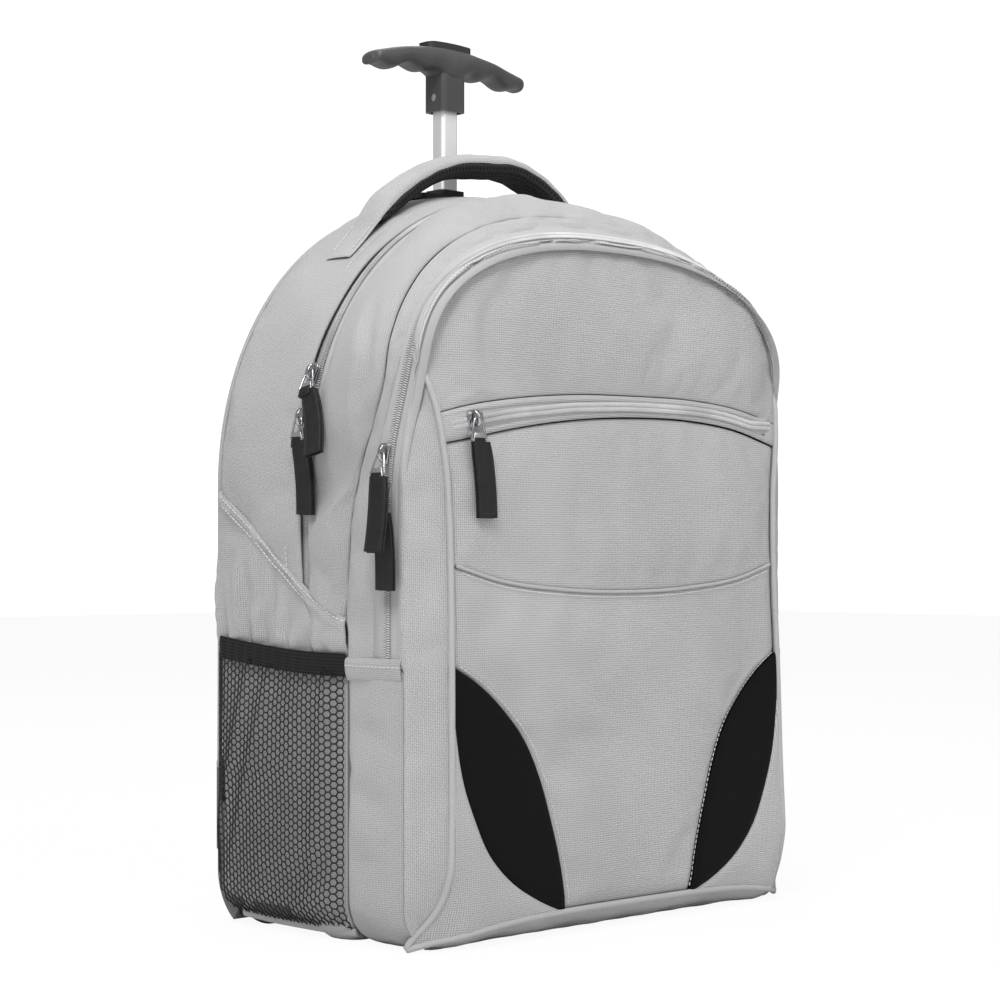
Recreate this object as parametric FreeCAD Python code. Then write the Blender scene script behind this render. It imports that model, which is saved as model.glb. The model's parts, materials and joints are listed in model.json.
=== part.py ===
import FreeCAD, Part
import math
import os

# Rolling laptop case of the backpack kind: a soft bag with two compartments on a base with two wheels
# and a pull-out T handle. Millimetres. +Z is up, the front panel faces -Y and the wearer's side faces
# +Y. The origin is on the ground, under the middle of the bag. One STEP is written per separate piece.

V = FreeCAD.Vector
X_AXIS, Y_AXIS, Z_AXIS = V(1, 0, 0), V(0, 1, 0), V(0, 0, 1)
ORIGIN = V(0, 0, 0)

# ---- driving dimensions --------------------------------------------------------------------------
SKIN = 2.5  # cloth with its foam backing
BACK_Y = 83.5  # outer face of the back panel
BACK_THICK = 6.0
FLAP_Y = 5.0  # front edge of the rear gusset, which overhangs the main zip
MAIN_ZIP_Y = -2.0
MAIN_ZIP_END_Z = 206.0  # both ends of the main zip
ZIP_BAND = 9.0
# the front compartment is deep at the bottom and thin at the top
DIVIDER_LOW_Y, DIVIDER_HIGH_Y = -36.0, -64.0
DIVIDER_Z = (220.0, 315.0)
DIVIDER_THICK = 3.0
FRONT_Y = -104.5  # front panel at the ground
FRONT_TILT = math.radians(1.9)  # the front panel leans back
FRONT_THICK = 2.5
GAP = 0.25  # between pieces that only lie side by side
FAR = 300.0  # outside the bag in every direction

# main arch: straight sides, then a half circle that the main zip follows
ARCH_R = 168.0
ARCH_Z = 278.0

# one station per row: y, half width, spring height, top height, bottom height
# (a bottom below 0 is cut flat at 0)
STATIONS = (
    (BACK_Y, 167.0, 265.0, 450.0, 4.0),
    (BACK_Y - BACK_THICK, 168.0, 265.0, 451.0, 4.0),
    (FLAP_Y, ARCH_R, ARCH_Z, ARCH_Z + ARCH_R, -0.6),
    (-9.0, ARCH_R, ARCH_Z, ARCH_Z + ARCH_R, -0.6),
    (-36.0, 167.0, 288.0, 438.0, -0.6),
    (-66.0, 165.5, 306.0, 425.0, -0.6),
    (-85.0, 164.0, 324.0, 413.0, -0.6),
)
CORNER_R = 24.0
# front panel outline: narrow at the bottom, flaring to the arch
PANEL_LOW_W, PANEL_TOP_W = 138.0, 160.0
PANEL_KNEE_Z, PANEL_SPRING_Z, PANEL_TOP_Z, PANEL_BOTTOM_Z = 215.0, 330.0, 410.0, 3.0
PANEL_CORNER_R = 26.0
PIPING_R = 2.0

# pocket zip: an arc across the front panel
POCKET_ARC_R, POCKET_ARC_TOP_Z, POCKET_ZIP_BAND = 661.0, 311.0, 15.0
POCKET_ZIP_HALF = 139.0
SMILE_Z, SMILE_RISE = 200.5, 15.0

# trolley, a three-stage square telescope
TROLLEY_Y = 61.0
NECK_HALF_W, NECK_HALF_D = 14.0, 12.0  # room in the top seam for the bezel's neck
INNER_W, INNER_D, INNER_WALL = 14.0, 11.0, 1.2
MIDDLE_W, MIDDLE_D, MIDDLE_WALL = 18.4, 15.4, 1.2
OUTER_W, OUTER_D, OUTER_WALL = 23.0, 20.0, 1.3
OUTER_Z = (24.0, 447.0)
MIDDLE_Z = (60.0, 456.0)
INNER_Z = (185.0, 528.0)
GRIP_HALF = 66.0
COLLAR_Z = 511.0
BUTTON_W, BUTTON_D = 38.0, 14.0
BUTTON_LOW_Z, BUTTON_TOP_Z = 546.8, 555.5
SPRING_R, SPRING_Z, SPRING_H = 4.2, 529.0, 16.4
RIVET_R, RIVET_Z = 2.5, 520.0
ROD_R, ROD_LOW_Z = 1.75, 183.0
PIN_R, PIN_Z = 2.0, 176.0
LOCK_TRAVEL = (-50.0, 234.0)  # from the parked height to each locking hole

# zip sliders: heights on their zips, then how far each hanging pull leans out (degrees)
MAIN_SLIDER_Z, FRONT_SLIDER_Z, FRONT_SLIDER_Y = (328.0, 302.0), (279.0, 259.0), -71.8
POCKET_SLIDER_X = -122.0
MAIN_UPPER_HANG = (24.0, 14.0)
FRONT_UPPER_LEAN, LOWER_LEAN = 12.0, 2.5

# side pockets
POCKET_Y, POCKET_Z, POCKET_BULGE = (-33.0, 76.0), (9.0, 150.0), 4.8
ELASTIC_TOP_Z = 165.0

# wheels
WHEEL_R, WHEEL_W, HUB_R, AXLE_R = 31.0, 22.0, 23.0, 3.0
WHEEL_Y, WHEEL_Z, WHEEL_X = 50.0, 31.0, 150.0
FENDER_R = (32.6, 36.0)  # the curved skid guard behind and under the wheel
FENDER_ANGLE = math.radians(56)
HOUSING_OUT_X, HOUSING_IN_X = 165.5, 134.0
HOUSING_FRONT_Y, HOUSING_TOP_Z = 17.0, 72.0
HOUSING_WALLS = (2.5, 3.0)  # outer and inner side wall
ARCH_RING = (34.0, 38.0)  # moulded arch over the wheel
SPOKE_HOLES, SPOKE_HOLE_R, SPOKE_RING_R = 6, 3.6, 14.2
KICK_Z = (5.0, 64.0)
GUARD_Y, GUARD_TOP_Z = (83.8, 88.0), 97.0
SCREW_X, SCREW_Z, SCREW_R = (-158.5, -141.0), 86.0, 1.9

# carry handle
HANDLE_Y, HANDLE_HALF, HANDLE_Z, HANDLE_TOP_Z = 33.0, 97.0, 424.0, 475.0
HANDLE_W, HANDLE_T = 27.0, 12.0

# stiffeners and linings inside
BOARD_HALF, BOARD_Y, BOARD_Z = 138.0, (-30.0, 74.0), (7.5, 10.5)
LINING_Y, LINING_Z = (43.0, 45.5), (11.0, 420.0)
SLEEVE_HALF, SLEEVE_Y, SLEEVE_Z = 132.0, (15.0, 19.0), (14.0, 268.0)

# wearer's side: left halves of mirrored pairs, outlines in (x, z)
PAD_THICK = 8.25
PAD_OUTLINE = (
    (-136, 120), (-148, 250), (-134, 350), (-92, 404), (-44, 424),
    (-24, 400), (-22, 250), (-30, 112), (-84, 104),
)  # fmt: skip
STRAP_Y = (92.6, 104.0)
STRAP_OUTLINE = (
    (-58, 404), (-66, 360), (-84, 300), (-98, 240), (-102, 196),
    (-80, 184), (-60, 196), (-40, 300), (-24, 404),
)  # fmt: skip
LOCK_X, LOCK_Y, LOCK_Z = (-99.0, -65.0), (94.2, 101.0), (158.0, 182.0)
LOCK_SLOT_Z, LOCK_SLOT_H = (162.0, 173.0), 5.0
WEBBING_W, WEBBING_T = 25.0, 1.5
WEBBING_TOP, WEBBING_LOW = (-82.0, 180.0), (-112.0, 56.0)

os.makedirs("parts", exist_ok=True)


# ---- small helpers -------------------------------------------------------------------------------
def box(x0, x1, y0, y1, z0, z1):
    return Part.makeBox(x1 - x0, y1 - y0, z1 - z0, V(x0, y0, z0))


def cylinder(start, axis, radius, length):
    return Part.makeCylinder(radius, length, V(*start), axis)


def prism_yz(points, half_x=260.0):
    """A prism along X over a polygon given as (y, z) points."""
    wire = Part.makePolygon([V(-half_x, y, z) for y, z in points] + [V(-half_x, *points[0])])
    return Part.Face(wire).extrude(V(2 * half_x, 0, 0))


def prism_xz(points, y0, y1):
    """A prism along Y over a polygon given as (x, z) points."""
    wire = Part.makePolygon([V(x, y0, z) for x, z in points] + [V(points[0][0], y0, points[0][1])])
    return Part.Face(wire).extrude(V(0, y1 - y0, 0))


def smooth_xz(points, y0, y1):
    """A prism along Y over a closed smooth outline through (x, z) points."""
    curve = Part.BSplineCurve()
    curve.interpolate(Points=[V(x, y0, z) for x, z in points], PeriodicFlag=True)
    return Part.Face(Part.Wire(curve.toShape())).extrude(V(0, y1 - y0, 0))


def rounded_box(width, depth, z0, z1, radius, centre_y=TROLLEY_Y, centre_x=0.0):
    """An upright rounded rectangle around the trolley axis."""
    half_w, half_d = width / 2, depth / 2
    block = box(centre_x - half_w, centre_x + half_w, centre_y - half_d, centre_y + half_d, z0, z1)
    uprights = [e for e in block.Edges if abs(e.Vertexes[0].Z - e.Vertexes[-1].Z) > 0.1]
    return block.makeFillet(radius, uprights)


def soften(shape, radius):
    """Rounds every edge if the kernel can, and keeps the sharp solid if it can't."""
    try:
        rounded = shape.makeFillet(radius, shape.Edges)
        return rounded if rounded.isValid() and rounded.Volume > 0 else shape
    except Part.OCCError:
        return shape


def mirrored(shape):
    return shape.mirror(ORIGIN, X_AXIS)


def save(name, *shapes):
    """Writes the piece's solids, with no stray shells, to parts/NAME.step."""
    solids = [s for shape in shapes for s in shape.Solids if s.Volume > 1e-3]
    result = solids[0] if len(solids) == 1 else Part.makeCompound(solids)
    if not result.isValid():
        print("invalid", name)
    result.exportStep(f"parts/{name}.step")


def save_pair(name, left):
    """Two nodes. Left is the -X side."""
    save(name + "_left", left)
    save(name + "_right", mirrored(left))


def save_both(name, left):
    """One node that holds the left piece and its mirror image."""
    save(name, left, mirrored(left))


# ---- the bag's skin ------------------------------------------------------------------------------
def outline(y, low_w, top_w, knee_z, spring_z, top_z, bottom_z, corner_r):
    """Closed wire at depth y: flat bottom, round corners, straight sides, then a half ellipse."""
    crown = Part.Arc(V(1, 0, 0), V(0, 0, 1), V(-1, 0, 0)).toBSpline()
    for i, pole in enumerate(crown.getPoles(), 1):
        crown.setPole(i, V(top_w * pole.x, y, spring_z + (top_z - spring_z) * pole.z), crown.getWeight(i))
    right_spring, left_spring = V(top_w, y, spring_z), V(-top_w, y, spring_z)
    slant = corner_r * math.sqrt(0.5)
    left, right = -(low_w - corner_r), low_w - corner_r
    low_z = bottom_z + corner_r
    right_mid = V(right + slant, y, low_z - slant)
    left_mid = V(left - slant, y, low_z - slant)
    edges = [
        Part.makeLine(V(left, y, bottom_z), V(right, y, bottom_z)),
        Part.Arc(V(right, y, bottom_z), right_mid, V(low_w, y, low_z)).toShape(),
        Part.makeLine(V(low_w, y, low_z), V(low_w, y, knee_z)),
        Part.makeLine(V(low_w, y, knee_z), right_spring),
        crown.toShape(),
        Part.makeLine(left_spring, V(-low_w, y, knee_z)),
        Part.makeLine(V(-low_w, y, knee_z), V(-low_w, y, low_z)),
        Part.Arc(V(-low_w, y, low_z), left_mid, V(left, y, bottom_z)).toShape(),
    ]
    return Part.Wire(edges)


def station_wire(station, inset):
    y, half, spring, top, bottom = station
    knee = 0.5 * (spring + CORNER_R)
    half -= inset
    return outline(y, half, half, knee, spring, top - inset, bottom + inset, CORNER_R - inset)


def on_front(shape):
    """Moves a shape built at y = FRONT_Y onto the leaning front plane."""
    moved = shape.copy()
    moved.rotate(V(0, FRONT_Y, 0), X_AXIS, -math.degrees(FRONT_TILT))
    return moved


def panel_wire(inset, forward=0.0):
    wire = outline(
        FRONT_Y - forward,
        PANEL_LOW_W - inset,
        PANEL_TOP_W - inset,
        PANEL_KNEE_Z,
        PANEL_SPRING_Z,
        PANEL_TOP_Z - inset,
        PANEL_BOTTOM_Z + inset,
        PANEL_CORNER_R - inset,
    )
    return on_front(wire)


def loft(wires):
    return Part.makeLoft(wires, True, True)


def bag_volume(inset):
    """Everything inside the cloth, from the back face to the front panel, drawn in by inset."""
    wires = [station_wire(s, inset) for s in STATIONS]
    return loft(wires + [panel_wire(inset)])


FRONT_ZIP_LINE = ((-71.5, 163.0), (-72.0, 288.0), (-76.0, 312.0), (-83.0, 345.0), (-83.0, 425.0))


def zip_band_yz(widen):
    """The strip along the front zip, as a polygon in (y, z)."""
    half = ZIP_BAND / 2 + widen
    front = [(y - half, z) for y, z in FRONT_ZIP_LINE]
    rear = [(y + half, z) for y, z in reversed(FRONT_ZIP_LINE)]
    return front + rear


def divider_line(offset):
    y_low, y_high = DIVIDER_LOW_Y + offset, DIVIDER_HIGH_Y + offset
    return [(y_low, -20.0), (y_low, DIVIDER_Z[0]), (y_high, DIVIDER_Z[1]), (y_high, 480.0)]


def behind_divider(offset):
    return prism_yz(divider_line(offset) + [(140.0, 480.0), (140.0, -20.0)])


def front_of_divider(offset):
    return prism_yz(divider_line(offset) + [(-160.0, 480.0), (-160.0, -20.0)])


def slab(y0, y1, z0=-20.0, z1=500.0):
    """Everything between two depths and two heights, wider than the bag."""
    return box(-FAR, FAR, y0, y1, z0, z1)


def wheel_wells(clearance, top_z):
    """Space for the wheel housings, to be cut from cloth and boards."""
    front_y = HOUSING_FRONT_Y - 2 * clearance
    well = box(HOUSING_IN_X - clearance, FAR, front_y, BACK_Y + 20, -20, top_z)
    return well.fuse(mirrored(well))


def bag():
    """Every cloth piece of the bag apart from the front panel's own."""
    outer = bag_volume(0.0).cut(slab(-150, 150, -20, 0))
    inner = bag_volume(SKIN)
    skin = outer.cut(inner)
    wells = wheel_wells(1.0, HOUSING_TOP_Z + 1)
    back_panel(outer, wells)
    main_compartment(skin, wells)
    divider = inner.common(front_of_divider(0)).common(behind_divider(-DIVIDER_THICK))
    save("compartment_divider", divider)
    front_compartment(skin)


def back_panel(outer, wells):
    back = outer.common(slab(BACK_Y - BACK_THICK, BACK_Y + 5)).cut(wells)
    for x in SCREW_X:
        hole = cylinder((x, 0, SCREW_Z), Y_AXIS, SCREW_R + 0.15, 100)
        back = back.cut(hole).cut(mirrored(hole))
    save("back_panel", back)


def main_compartment(skin, wells):
    """Rear gusset, main zip and front gusset."""
    y0, y1 = MAIN_ZIP_Y - ZIP_BAND / 2, MAIN_ZIP_Y + ZIP_BAND / 2
    save("main_zip", skin.common(slab(y0, y1, MAIN_ZIP_END_Z)))
    neck = box(-NECK_HALF_W, NECK_HALF_W, TROLLEY_Y - NECK_HALF_D, TROLLEY_Y + NECK_HALF_D, 400, 470)
    rear = skin.common(slab(FLAP_Y, BACK_Y - BACK_THICK - GAP))
    save("rear_gusset", rear.cut(wells).cut(neck))
    front = skin.common(behind_divider(GAP)).common(slab(-100, FLAP_Y - GAP))
    save("front_gusset", front.cut(slab(y0 - GAP, 50, MAIN_ZIP_END_Z - GAP)))


def front_compartment(skin):
    """Front zip, the gusset behind it and the wedge strip in front of it."""
    behind_panel = on_front(slab(FRONT_Y + FRONT_THICK + GAP, 60))
    forward = skin.common(front_of_divider(0)).common(behind_panel)
    save("front_zip", forward.common(prism_yz(zip_band_yz(0))))
    ends = [(FRONT_ZIP_LINE[-1][0], 480), (-200, 480), (-200, -20), (FRONT_ZIP_LINE[0][0], -20)]
    ahead_of_zip = prism_yz(list(FRONT_ZIP_LINE) + ends)
    sides = forward.cut(prism_yz(zip_band_yz(GAP)))
    save("front_compartment_gusset", sides.cut(ahead_of_zip))
    save("front_border", sides.common(ahead_of_zip))


def front_face(shape, thickness=FRONT_THICK):
    """Keeps the part of a cutter that lies in the front panel's plate."""
    inward = V(0, math.cos(FRONT_TILT), -math.sin(FRONT_TILT))
    plate = Part.Face(panel_wire(0.6)).extrude(inward * thickness)
    return plate.common(on_front(shape))


def pocket_arc(offset, half=POCKET_ZIP_HALF + 40):
    """Points along the pocket zip's arc, raised by offset."""
    centre_z = POCKET_ARC_TOP_Z - POCKET_ARC_R
    radius = POCKET_ARC_R + offset
    points = []
    for i in range(17):
        x = half * (i / 8.0 - 1.0)
        points.append((x, centre_z + math.sqrt(radius * radius - x * x)))
    return points


def smile(offset, half=180.0):
    """Points along the curved seam below the front pocket."""
    points = []
    for i in range(17):
        x = half * (i / 8.0 - 1.0)
        points.append((x, SMILE_Z + offset + SMILE_RISE * (x / PANEL_LOW_W) ** 2))
    return points


def accent_outline():
    """Left black corner patch, a leaf between the panel's edge and its bottom seam."""
    inner = [(-150, 161), (-128, 153), (-104, 135), (-83, 108), (-70, 78), (-60, 40), (-55, 6)]
    outer = [(-55, -10), (-84, 24), (-114, 50), (-131, 78), (-139, 112), (-150, 140)]
    return inner + outer


def front_panels():
    y0, y1 = FRONT_Y - 10, FRONT_Y + 20
    half_band = POCKET_ZIP_BAND / 2
    above = prism_xz(pocket_arc(half_band + GAP) + [(200, 460), (-200, 460)], y0, y1)
    save("upper_front_panel", front_face(above))
    band_low = list(reversed(pocket_arc(-half_band)))
    save("pocket_zip", front_face(prism_xz(pocket_arc(half_band) + band_low, y0, y1)))
    pocket = prism_xz(pocket_arc(-half_band - GAP) + list(reversed(smile(GAP))), y0, y1)
    save("pocket_panel", front_face(pocket))
    patch = prism_xz(accent_outline(), y0, y1)
    patches = patch.fuse(mirrored(patch))
    save("accent_panels", front_face(patches))
    below = prism_xz(smile(-GAP) + [(220, -30), (-220, -30)], y0, y1)
    save("lower_front_panel", front_face(below.cut(patches)))


def piping():
    """Cord sewn round the front panel's sides and bottom."""
    wire = panel_wire(0.6 - PIPING_R * 0.2, PIPING_R + 0.05)
    kept = [edge for edge in wire.Edges if edge.BoundBox.ZMax < PANEL_TOP_Z - 20]
    path = Part.Wire(Part.__sortEdges__(kept))
    start = path.OrderedVertexes[0].Point
    tangent = path.OrderedEdges[0].tangentAt(path.OrderedEdges[0].FirstParameter)
    circle = Part.Wire(Part.makeCircle(PIPING_R, start, tangent))
    cord = path.makePipeShell([circle], True, True, 1)
    save("front_piping", cord)


def upright_pad(x0, x1, y0, y1, z0, z1, radius):
    """Upright board with round corners seen from the front."""
    block = box(x0, x1, y0, y1, z0, z1)
    along_y = [e for e in block.Edges if abs(e.Vertexes[0].Y - e.Vertexes[-1].Y) > 0.1]
    return block.makeFillet(radius, along_y)


def inside():
    """Hidden stiffeners and linings."""
    wells = wheel_wells(2.0, 100)
    save("base_board", box(-BOARD_HALF, BOARD_HALF, *BOARD_Y, *BOARD_Z).cut(wells))
    lining = bag_volume(SKIN + 1.0).common(slab(*LINING_Y, *LINING_Z))
    save("trolley_lining", lining.cut(wells))
    save("laptop_sleeve", upright_pad(-SLEEVE_HALF, SLEEVE_HALF, *SLEEVE_Y, *SLEEVE_Z, 18.0))


def pads():
    """Foam pads on the wearer's side, left and right of the trolley channel."""
    save_both("back_pads", smooth_xz(PAD_OUTLINE, BACK_Y + GAP, BACK_Y + GAP + PAD_THICK))


# ---- trolley -------------------------------------------------------------------------------------
def tube(width, depth, wall, z0, z1, radius):
    shell = rounded_box(width, depth, z0, z1, radius)
    inner_radius = max(radius - wall, 0.5)
    return shell.cut(rounded_box(width - 2 * wall, depth - 2 * wall, z0 - 1, z1 + 1, inner_radius))


def grip_section(x, top, bottom, half_depth):
    """Rounded section of the T bar at x."""
    middle, half = (top + bottom) / 2, (top - bottom) / 2
    points = []
    for i in range(16):
        angle = 2 * math.pi * i / 16
        c, s = math.cos(angle), math.sin(angle)
        y = TROLLEY_Y + half_depth * math.copysign(abs(c) ** 0.8, c)
        points.append(V(x, y, middle + half * math.copysign(abs(s) ** 0.8, s)))
    curve = Part.BSplineCurve()
    curve.interpolate(Points=points, PeriodicFlag=True)
    return Part.Wire(curve.toShape())


def grip_heights(x):
    """Top and bottom of the T bar, with two finger hollows under each arm."""
    t = abs(x) / GRIP_HALF
    top = 552.6 - 11.0 * t**1.9
    flare = 7.5 * math.exp(-((abs(x) / 14.0) ** 2))
    wave = 1.7 * math.cos(2 * math.pi * (abs(x) - 50.0) / 25.0) * min(1.0, abs(x) / 22.0)
    bottom = 537.5 - 5.5 * t**2.0 - flare - wave
    return top, bottom


def grip_bar():
    """The T bar, lofted through its sections and closed with rounded ends."""
    sections = []
    steps = 22
    for i in range(-steps, steps + 1):
        x = (GRIP_HALF - 4.0) * i / steps
        top, bottom = grip_heights(x)
        sections.append(grip_section(x, top, bottom, 12.5 - 3.2 * abs(x) / GRIP_HALF))
    top, bottom = grip_heights(GRIP_HALF)
    middle = (top + bottom) / 2
    for reach, share in ((GRIP_HALF - 1.6, 0.86), (GRIP_HALF, 0.46)):
        half = (top - bottom) / 2 * share
        sections.insert(0, grip_section(-reach, middle + half, middle - half, 9.3 * share))
        sections.append(grip_section(reach, middle + half, middle - half, 9.3 * share))
    return Part.makeLoft(sections, True, False)


def grip():
    """T grip with its collar, hollow for the tube, spring and button, and the collar's two rivets."""
    body = grip_bar().fuse(rounded_box(21.0, 19.5, COLLAR_Z, 536.0, 4.0))
    body = body.cut(rounded_box(INNER_W + 0.1, INNER_D + 0.1, COLLAR_Z - 1, INNER_Z[1] + 0.1, 2.55))
    body = body.cut(rounded_box(17.5, 15.0, COLLAR_Z - 1, COLLAR_Z + 2.5, 3.0))
    body = body.cut(cylinder((0, TROLLEY_Y, RIVET_Z), Z_AXIS, 6.0, 24.0))
    body = body.cut(rounded_box(BUTTON_W + 0.6, BUTTON_D + 0.6, BUTTON_LOW_Z - 4.3, 570.0, 5.0))
    rivets = []
    for side in (-1, 1):
        body = body.cut(rivet_hole(side, 10.0))
        rivets.append(cylinder((side * 5.6, TROLLEY_Y, RIVET_Z), X_AXIS * side, RIVET_R, 4.4))
    save("grip", body)
    save("grip_rivets", *rivets)


def rivet_hole(side, length):
    return cylinder((side * 4.0, TROLLEY_Y, RIVET_Z), X_AXIS * side, RIVET_R + 0.05, length)


def button():
    """Release button with a slightly domed top, its push rod and its spring."""
    block = rounded_box(BUTTON_W, BUTTON_D, BUTTON_LOW_Z, BUTTON_TOP_Z + 0.5, 4.7)
    dome = Part.makeCylinder(230.0, 60.0, V(0, TROLLEY_Y - 30, BUTTON_TOP_Z - 230.0), Y_AXIS)
    save("release_button", block.common(dome))
    save("push_rod", cylinder((0, TROLLEY_Y, ROD_LOW_Z), Z_AXIS, ROD_R, BUTTON_LOW_Z - ROD_LOW_Z))
    helix = Part.makeHelix(3.0, SPRING_H, SPRING_R)
    helix.translate(V(0, TROLLEY_Y, SPRING_Z))
    wire = Part.Wire(Part.makeCircle(0.5, V(SPRING_R, TROLLEY_Y, SPRING_Z), V(0, 1, 0.11)))
    save("button_spring", Part.Wire(helix.Edges).makePipeShell([wire], True, True))


def telescope():
    """Three tubes, the plastic bushes between them, the top bezel and the foot."""
    inner = tube(INNER_W, INNER_D, INNER_WALL, *INNER_Z, 2.5)
    for side in (-1, 1):
        inner = inner.cut(rivet_hole(side, 6.0))
    save("inner_tube", inner)

    middle = tube(MIDDLE_W, MIDDLE_D, MIDDLE_WALL, *MIDDLE_Z, 3.0)
    for travel in LOCK_TRAVEL:
        middle = middle.cut(cylinder((0, TROLLEY_Y, PIN_Z + travel), Y_AXIS, PIN_R + 0.3, 12.0))
    save("middle_tube", middle)
    bush = rounded_box(15.9, 12.9, 436.0, MIDDLE_Z[1], 2.4)
    bush = bush.fuse(rounded_box(21.0, 18.0, MIDDLE_Z[1], MIDDLE_Z[1] + 3.5, 3.6))
    save("middle_bush", bush.cut(rounded_box(INNER_W + 0.2, INNER_D + 0.2, 430, 470, 2.6)))
    glide = rounded_box(20.2, 17.2, 48.0, MIDDLE_Z[0], 3.0)
    glide = glide.fuse(rounded_box(15.8, 12.8, MIDDLE_Z[0], 74.0, 2.4))
    save("middle_glide", glide.cut(cylinder((0, TROLLEY_Y, 40), Z_AXIS, 3.0, 50)))

    save("outer_tube", tube(OUTER_W, OUTER_D, OUTER_WALL, *OUTER_Z, 3.6))
    bezel = rounded_box(64.0, 27.0, 451.4, 454.8, 8.0)
    bezel = bezel.fuse(rounded_box(25.5, 22.5, OUTER_Z[1] + 0.2, 453.0, 4.0))
    bezel = bezel.fuse(rounded_box(20.2, 17.2, 430.0, 452.4, 2.8))
    save("top_bezel", bezel.cut(rounded_box(MIDDLE_W + 0.2, MIDDLE_D + 0.2, 420, 470, 3.1)))
    foot = rounded_box(36.0, 30.0, 10.8, 36.0, 4.0)
    foot = foot.cut(rounded_box(OUTER_W + 0.1, OUTER_D + 0.1, OUTER_Z[0], 50, 3.65))
    save("tube_foot", foot.cut(cylinder((0, TROLLEY_Y, 5), Z_AXIS, 6.0, 30)))


def lock():
    """Block on the foot of the inner tube, and the pin that springs into the middle tube's holes."""
    block = rounded_box(15.8, 12.8, 163.0, INNER_Z[0], 2.4)
    block = block.fuse(rounded_box(11.4, 8.4, INNER_Z[0], 198.0, 1.4))
    block = block.cut(cylinder((0, TROLLEY_Y, 170), Z_AXIS, ROD_R + 0.1, 40))
    block = block.cut(cylinder((0, TROLLEY_Y - 5.5, PIN_Z), Y_AXIS, PIN_R + 0.08, 20))
    save("lock_block", block)
    save("lock_pin", cylinder((0, TROLLEY_Y - 2.5, PIN_Z), Y_AXIS, PIN_R, 8.7))


# ---- wheels and base -----------------------------------------------------------------------------
def wheels():
    """Tyre and dished hub on each side, and the two axles."""
    x0 = -WHEEL_X - WHEEL_W / 2
    centre = (x0, WHEEL_Y, WHEEL_Z)
    tyre = cylinder(centre, X_AXIS, WHEEL_R, WHEEL_W)
    rims = [e for e in tyre.Edges if isinstance(e.Curve, Part.Circle)]
    save_pair("tyre", tyre.makeFillet(4.5, rims).cut(cylinder(centre, X_AXIS, HUB_R + 0.02, WHEEL_W)))

    hub = cylinder(centre, X_AXIS, HUB_R, WHEEL_W)
    dish = cylinder((x0 - 1, WHEEL_Y, WHEEL_Z), X_AXIS, HUB_R - 3.5, 7.0)
    dish = dish.cut(cylinder((x0 - 2, WHEEL_Y, WHEEL_Z), X_AXIS, 8.0, 9.0))
    inside_dish = dish.copy()
    inside_dish.translate(V(WHEEL_W - 5.0, 0, 0))
    hub = hub.cut(dish).cut(inside_dish)
    for i in range(SPOKE_HOLES):
        angle = 2 * math.pi * i / SPOKE_HOLES
        y = WHEEL_Y + SPOKE_RING_R * math.cos(angle)
        z = WHEEL_Z + SPOKE_RING_R * math.sin(angle)
        hub = hub.cut(cylinder((x0 - 1, y, z), X_AXIS, SPOKE_HOLE_R, WHEEL_W + 2))
    bore = cylinder((x0 - 1, WHEEL_Y, WHEEL_Z), X_AXIS, AXLE_R + 0.06, WHEEL_W + 2)
    save_pair("hub", hub.cut(bore))

    axle = cylinder((-HOUSING_OUT_X, WHEEL_Y, WHEEL_Z), X_AXIS, AXLE_R, HOUSING_OUT_X - HOUSING_IN_X + 2)
    head = cylinder((-HOUSING_OUT_X - 1.6, WHEEL_Y, WHEEL_Z), X_AXIS, 5.2, 1.6)
    save_both("axles", axle.fuse(head))


def wheel_ring(radius, length=HOUSING_OUT_X - HOUSING_IN_X):
    """Disc about the left wheel's axis, from the housing's outer face inwards."""
    return cylinder((-HOUSING_OUT_X, WHEEL_Y, WHEEL_Z), X_AXIS, radius, length)


def wheel_housing():
    """Left housing: two side walls, an arch over the wheel, a skid fender, a roof and a corner guard."""
    rear_y, low_z = WHEEL_Y + FENDER_R[1], WHEEL_Z - HUB_R
    plate = box(-HOUSING_OUT_X, -HOUSING_IN_X, HOUSING_FRONT_Y, WHEEL_Y, low_z, HOUSING_TOP_Z)
    plate = plate.fuse(box(-HOUSING_OUT_X, -HOUSING_IN_X, WHEEL_Y, rear_y, WHEEL_Z, HOUSING_TOP_Z))
    reach = 80.0
    fender_end = (WHEEL_Y + reach * math.cos(FENDER_ANGLE), WHEEL_Z - reach * math.sin(FENDER_ANGLE))
    corner, level = (WHEEL_Y + reach, WHEEL_Z - reach), (WHEEL_Y + reach, WHEEL_Z)
    disc = wheel_ring(FENDER_R[1]).common(prism_yz([(WHEEL_Y, WHEEL_Z), fender_end, corner, level]))
    out_wall, in_wall = HOUSING_WALLS
    hollow = box(-HOUSING_OUT_X + out_wall, -HOUSING_IN_X - in_wall, 0, 100, -10, 100)
    walls = plate.fuse(disc).cut(hollow)
    fender = disc.cut(wheel_ring(FENDER_R[0]))
    top, front = HOUSING_TOP_Z, HOUSING_FRONT_Y
    above = [(front, low_z), (34, low_z), (WHEEL_Y, WHEEL_Z), (80, 60), (80, top), (front, top)]
    arch = wheel_ring(ARCH_RING[1]).cut(wheel_ring(ARCH_RING[0])).common(prism_yz(above))
    roof = box(-HOUSING_OUT_X, -HOUSING_IN_X, 60, GUARD_Y[0] + 0.5, top - 3, top)
    guard = soften(box(-HOUSING_OUT_X, -HOUSING_IN_X, *GUARD_Y, 42, GUARD_TOP_Z), 1.2)
    housing = walls.fuse(arch).fuse(fender).fuse(roof).fuse(guard).cut(wheel_ring(AXLE_R + 0.02, 100))
    for x in SCREW_X:
        housing = housing.cut(cylinder((x, 70, SCREW_Z), Y_AXIS, SCREW_R + 0.15, 30))
    return housing


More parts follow.
